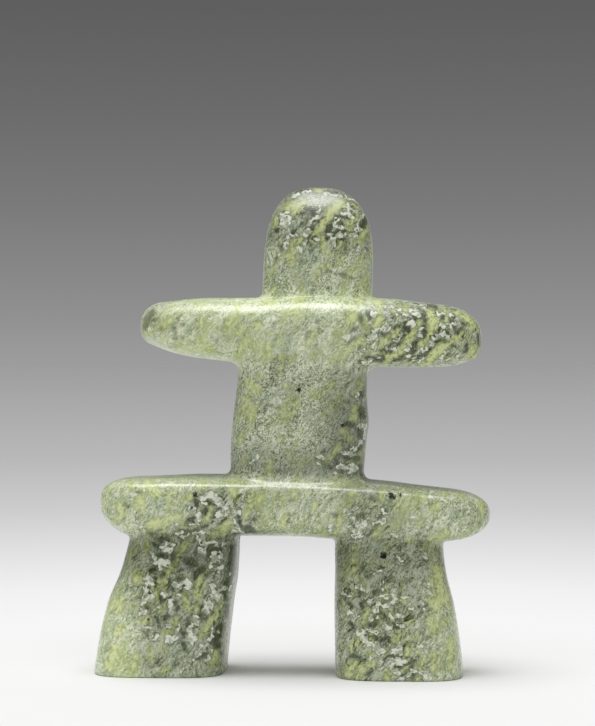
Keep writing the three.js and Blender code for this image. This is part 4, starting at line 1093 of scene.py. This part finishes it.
class Serpentine:
    """The stone's material. Each method lays one kind of mark over the colour so far. A mark's
    field is positive inside it, in millimetres. Drawn marks have theirs from the mesh, frayed by
    noise. Wild ones, most of them on the sides and the back, have it from noise alone."""

    def __init__(self):
        self.material, self.g = new_material("serpentine")
        g = self.g
        self.place = g.vector("SCALE", g.node("TexCoord").outputs["Object"], 1 / MM)
        shifts = g.vector("ADD", self.shift(1.3, 0.9), self.shift(8.0, 6.0, offset=31.0))
        self.warped = g.vector("ADD", self.place, shifts)
        turn = {"Vector": self.warped, "Angle": VEIN_ANGLE}
        self.turned = g.node("VectorRotate", turn, rotation_type="Y_AXIS").outputs[0]
        self.front = g.attribute("front")
        self.tone = g.attribute("tone")
        self.broken = g.attribute("broken")
        self.crushed = g.step(self.broken, 0.4, 0.85)
        self.speckle = self.veined(2.4, 0.95, detail=4.0, roughness=0.65, offset=5.0)
        self.ragged = g.centred(self.veined(2.6, 1.3, offset=3.0))
        self.frayed = g.add_share(g.centred(self.speckle), 1.3, self.ragged)
        self.strands = self.veined(3.6, 0.55, roughness=0.6, offset=19.0)
        self.blur = g.noise(self.warped, 1.8, offset=3.0)
        self.crumbs = g.noise(self.warped, 0.9, detail=1.0, offset=33.0)

    def shift(self, size, strength, offset=0.0):
        """A soft shift of places, in all directions."""
        colours = self.g.noise(self.place, size, detail=1.0, offset=offset, output="Color")
        return self.g.vector("SCALE", self.g.vector("SUBTRACT", colours, (0.5, 0.5, 0.5)), strength)

    def veined(self, along, across, **settings):
        """Noise with blots of one size along the veins and another across them."""
        return self.g.noise(self.turned, (along, across, across), **settings)

    def lay(self, share, paint):
        self.stone = self.g.mix(share, self.stone, paint)

    def ground(self):
        """Wide patches, speckle and fine grain, two washes, and a net of pale hairs."""
        g = self.g
        patches = self.veined(12.0, 4.0, detail=3.0, roughness=0.55, offset=17.0)
        coarse = g.add_share(g.centred(patches), 0.6, g.centred(self.speckle))
        grain = self.veined(1.5, 0.65, detail=3.0, roughness=0.75, offset=11.0)
        dots = g.noise(self.place, 0.5, detail=1.0, offset=67.0)
        fine = g.add_share(g.centred(dots), 0.7, g.centred(grain))
        fine = g.math("MULTIPLY", fine, g.attribute("grain"))
        level = g.add_share(coarse, g.add_share(self.broken, 0.7, 0.6), fine)
        self.stone = g.ramp(g.math("ADD", level, 0.5), GROUND)
        olive = self.veined(14.0, 6.0, offset=43.0)
        self.lay(g.mask(olive, 0.48, 0.66, 0.45), OLIVE)
        bluish = g.noise(self.place, 10.0, offset=57.0)
        self.lay(g.mask(bluish, 0.52, 0.66, 0.3), BLUISH)
        net = self.veined(1.8, 1.0, detail=1.0, roughness=0.55, offset=23.0)
        self.lay(g.mask(g.math("ABSOLUTE", g.centred(net)), 0.04, 0.0, 0.3), HAIR)

    def veils_and_painted_reflections(self):
        g = self.g
        # The drawn veils include painted reflections of the pale floor along the undersides.
        field = g.add_share(self.ragged, 2.0, g.attribute("veils_and_painted_reflections"))
        self.lay(g.mask(field, -0.9, 0.9, 0.65), VEIL_AND_PAINTED_REFLECTION)

    def breaks(self):
        """The stone's tone, with the zones' painted highlights and painted shade, and dark flecks and
        pale crumbs where it is broken.
        """
        g = self.g
        self.stone = g.vector("SCALE", self.stone, self.tone)
        flecks = self.veined(4.2, 1.0, roughness=0.6, offset=37.0)
        self.lay(g.math("MULTIPLY", g.mask(flecks, 0.52, 0.62, 0.55), self.crushed), FLECK)
        bits = self.veined(1.5, 0.9, roughness=0.6, offset=61.0)
        self.lay(g.math("MULTIPLY", g.mask(bits, 0.57, 0.62, 0.45), self.crushed), CRUMB)

    def lime(self):
        """Lime streaks, paler towards their middle."""
        g = self.g
        streaks = self.veined(12.0, 4.2, offset=71.0)
        wild = g.add_share(g.centred(streaks, 0.6), 18.0, g.math("MULTIPLY", self.front, -3.0))
        field = g.math("MAXIMUM", g.add_share(self.frayed, 2.2, g.attribute("lime")), wild)
        soft = g.add_share(self.blur, 2.6, g.math("MULTIPLY", self.strands, 1.4))
        depth = g.add_share(field, 0.35, soft)
        tint = g.mix(g.step(depth, 1.45, 2.75), LIME_DEEP, LIME_PALE)
        tint = g.vector("SCALE", tint, g.math("POWER", self.tone, 0.6))
        strength = g.add_share(self.crushed, 0.2, 0.7)
        self.lay(g.math("MULTIPLY", g.mask(field, -1.2, 0.8), strength), tint)

    def dark(self):
        """Dark ground, with paler strands in it."""
        g = self.g
        shadows = self.veined(5.5, 2.6, detail=3.0, roughness=0.6, offset=91.0)
        more = g.math("MULTIPLY", g.centred(self.broken, 0.6), 2.0)
        wild = g.add_share(g.centred(shadows, 0.68), 14.0, more)
        field = g.math("MAXIMUM", g.add_share(self.frayed, 2.6, g.attribute("dark")), wild)
        tint = g.mix(g.step(self.strands, 0.36, 0.7), DARK_DEEP, DARK_PALE)
        strength = g.add_share(self.crushed, 0.38, 0.57)
        self.lay(g.math("MULTIPLY", g.mask(field, -1.0, 0.5), strength), tint)

    def flakes_and_rim_highlights(self):
        """Pale fragments with bitten edges and a dark rim, and the painted rim highlights along the
        head's top edge.
        """
        g = self.g
        bites = g.voronoi(self.warped, 1.6, "Distance", offset=13.0)
        teeth = g.add_share(g.centred(bites), 2.0, g.attribute("flakes_and_rim_highlights"))
        drawn = g.add_share(g.centred(self.crumbs), 0.7, teeth)
        field = g.math("MAXIMUM", drawn, self.wild_flakes())
        rim = g.math("MULTIPLY", g.mask(field, -0.8, -0.3, 0.5), g.step(self.broken, 0.3, 0.7))
        self.lay(rim, FLAKE_RIM)
        tint = g.mix(g.step(self.blur, 0.38, 0.6), FLAKE_DULL, FLAKE_PALE)
        tint = g.vector("SCALE", tint, g.math("POWER", self.tone, 0.22))
        self.lay(g.mask(field, -0.12, 0.1, 0.95), tint)

    def wild_flakes(self):
        """Cells picked at random, the more of them the more the stone is broken."""
        g = self.g
        paints = g.voronoi(self.turned, WILD_FLAKE, "Color", offset=7.0)
        edges = g.voronoi(self.turned, WILD_FLAKE, "Distance", feature="DISTANCE_TO_EDGE", offset=7.0)
        pick = g.node("SeparateColor", {"Color": paints}).outputs["Red"]
        wild = g.math("SUBTRACT", 1.0, self.front)
        keep = g.math("MULTIPLY", wild, g.add_share(self.broken, 0.3, -0.05))
        inside = g.add_share(edges, 3.0, -0.25)
        chosen = g.math("LESS_THAN", pick, keep)
        return g.add_share(chosen, g.math("ADD", inside, FAR_OUTSIDE), -FAR_OUTSIDE)

    def pits(self):
        g = self.g
        # Painted shade: darkens the pits nearly to black.
        torn = g.add_share(g.centred(self.crumbs), 2.4, g.attribute("pits"))
        field = g.add_share(self.frayed, 1.4, torn)
        self.lay(g.mask(field, -0.5, 0.25, 0.95), PIT_SHADE)

    def polish(self):
        """The finished surface, duller in places and in its paler speckles."""
        g = self.g
        speckled = g.step(self.speckle, 0.35, 0.65, 0.56, 0.64)
        g.finish(g.node("BsdfPrincipled", {
            "Base Color": self.stone,
            "Roughness": g.math("MULTIPLY", g.attribute("dullness"), speckled),
            "IOR": 1.56,
            "Sheen Weight": 0.3,
            "Sheen Roughness": 0.25,
        }))


def serpentine_material():
    stone = Serpentine()
    stone.ground()
    stone.veils_and_painted_reflections()
    stone.breaks()
    stone.lime()
    stone.dark()
    stone.flakes_and_rim_highlights()
    stone.pits()
    stone.polish()
    return stone.material


def add_carving(node):
    mesh = make_skin(node)
    draw_pattern(mesh)
    sink(mesh)
    mesh.name = "inukshuk"
    mesh.shade_smooth()
    mesh.materials.clear()
    mesh.materials.append(serpentine_material())
    carving = bpy.data.objects.new("inukshuk", mesh)
    bpy.context.scene.collection.objects.link(carving)
    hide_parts("inukshuk_carving")
    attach(carving, "root")


bpy.context.scene.view_settings.view_transform = "Standard"
add_camera()
add_floor()
add_world()
for light in LIGHTS:
    add_light(*light)
add_carving(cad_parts["inukshuk_carving"])
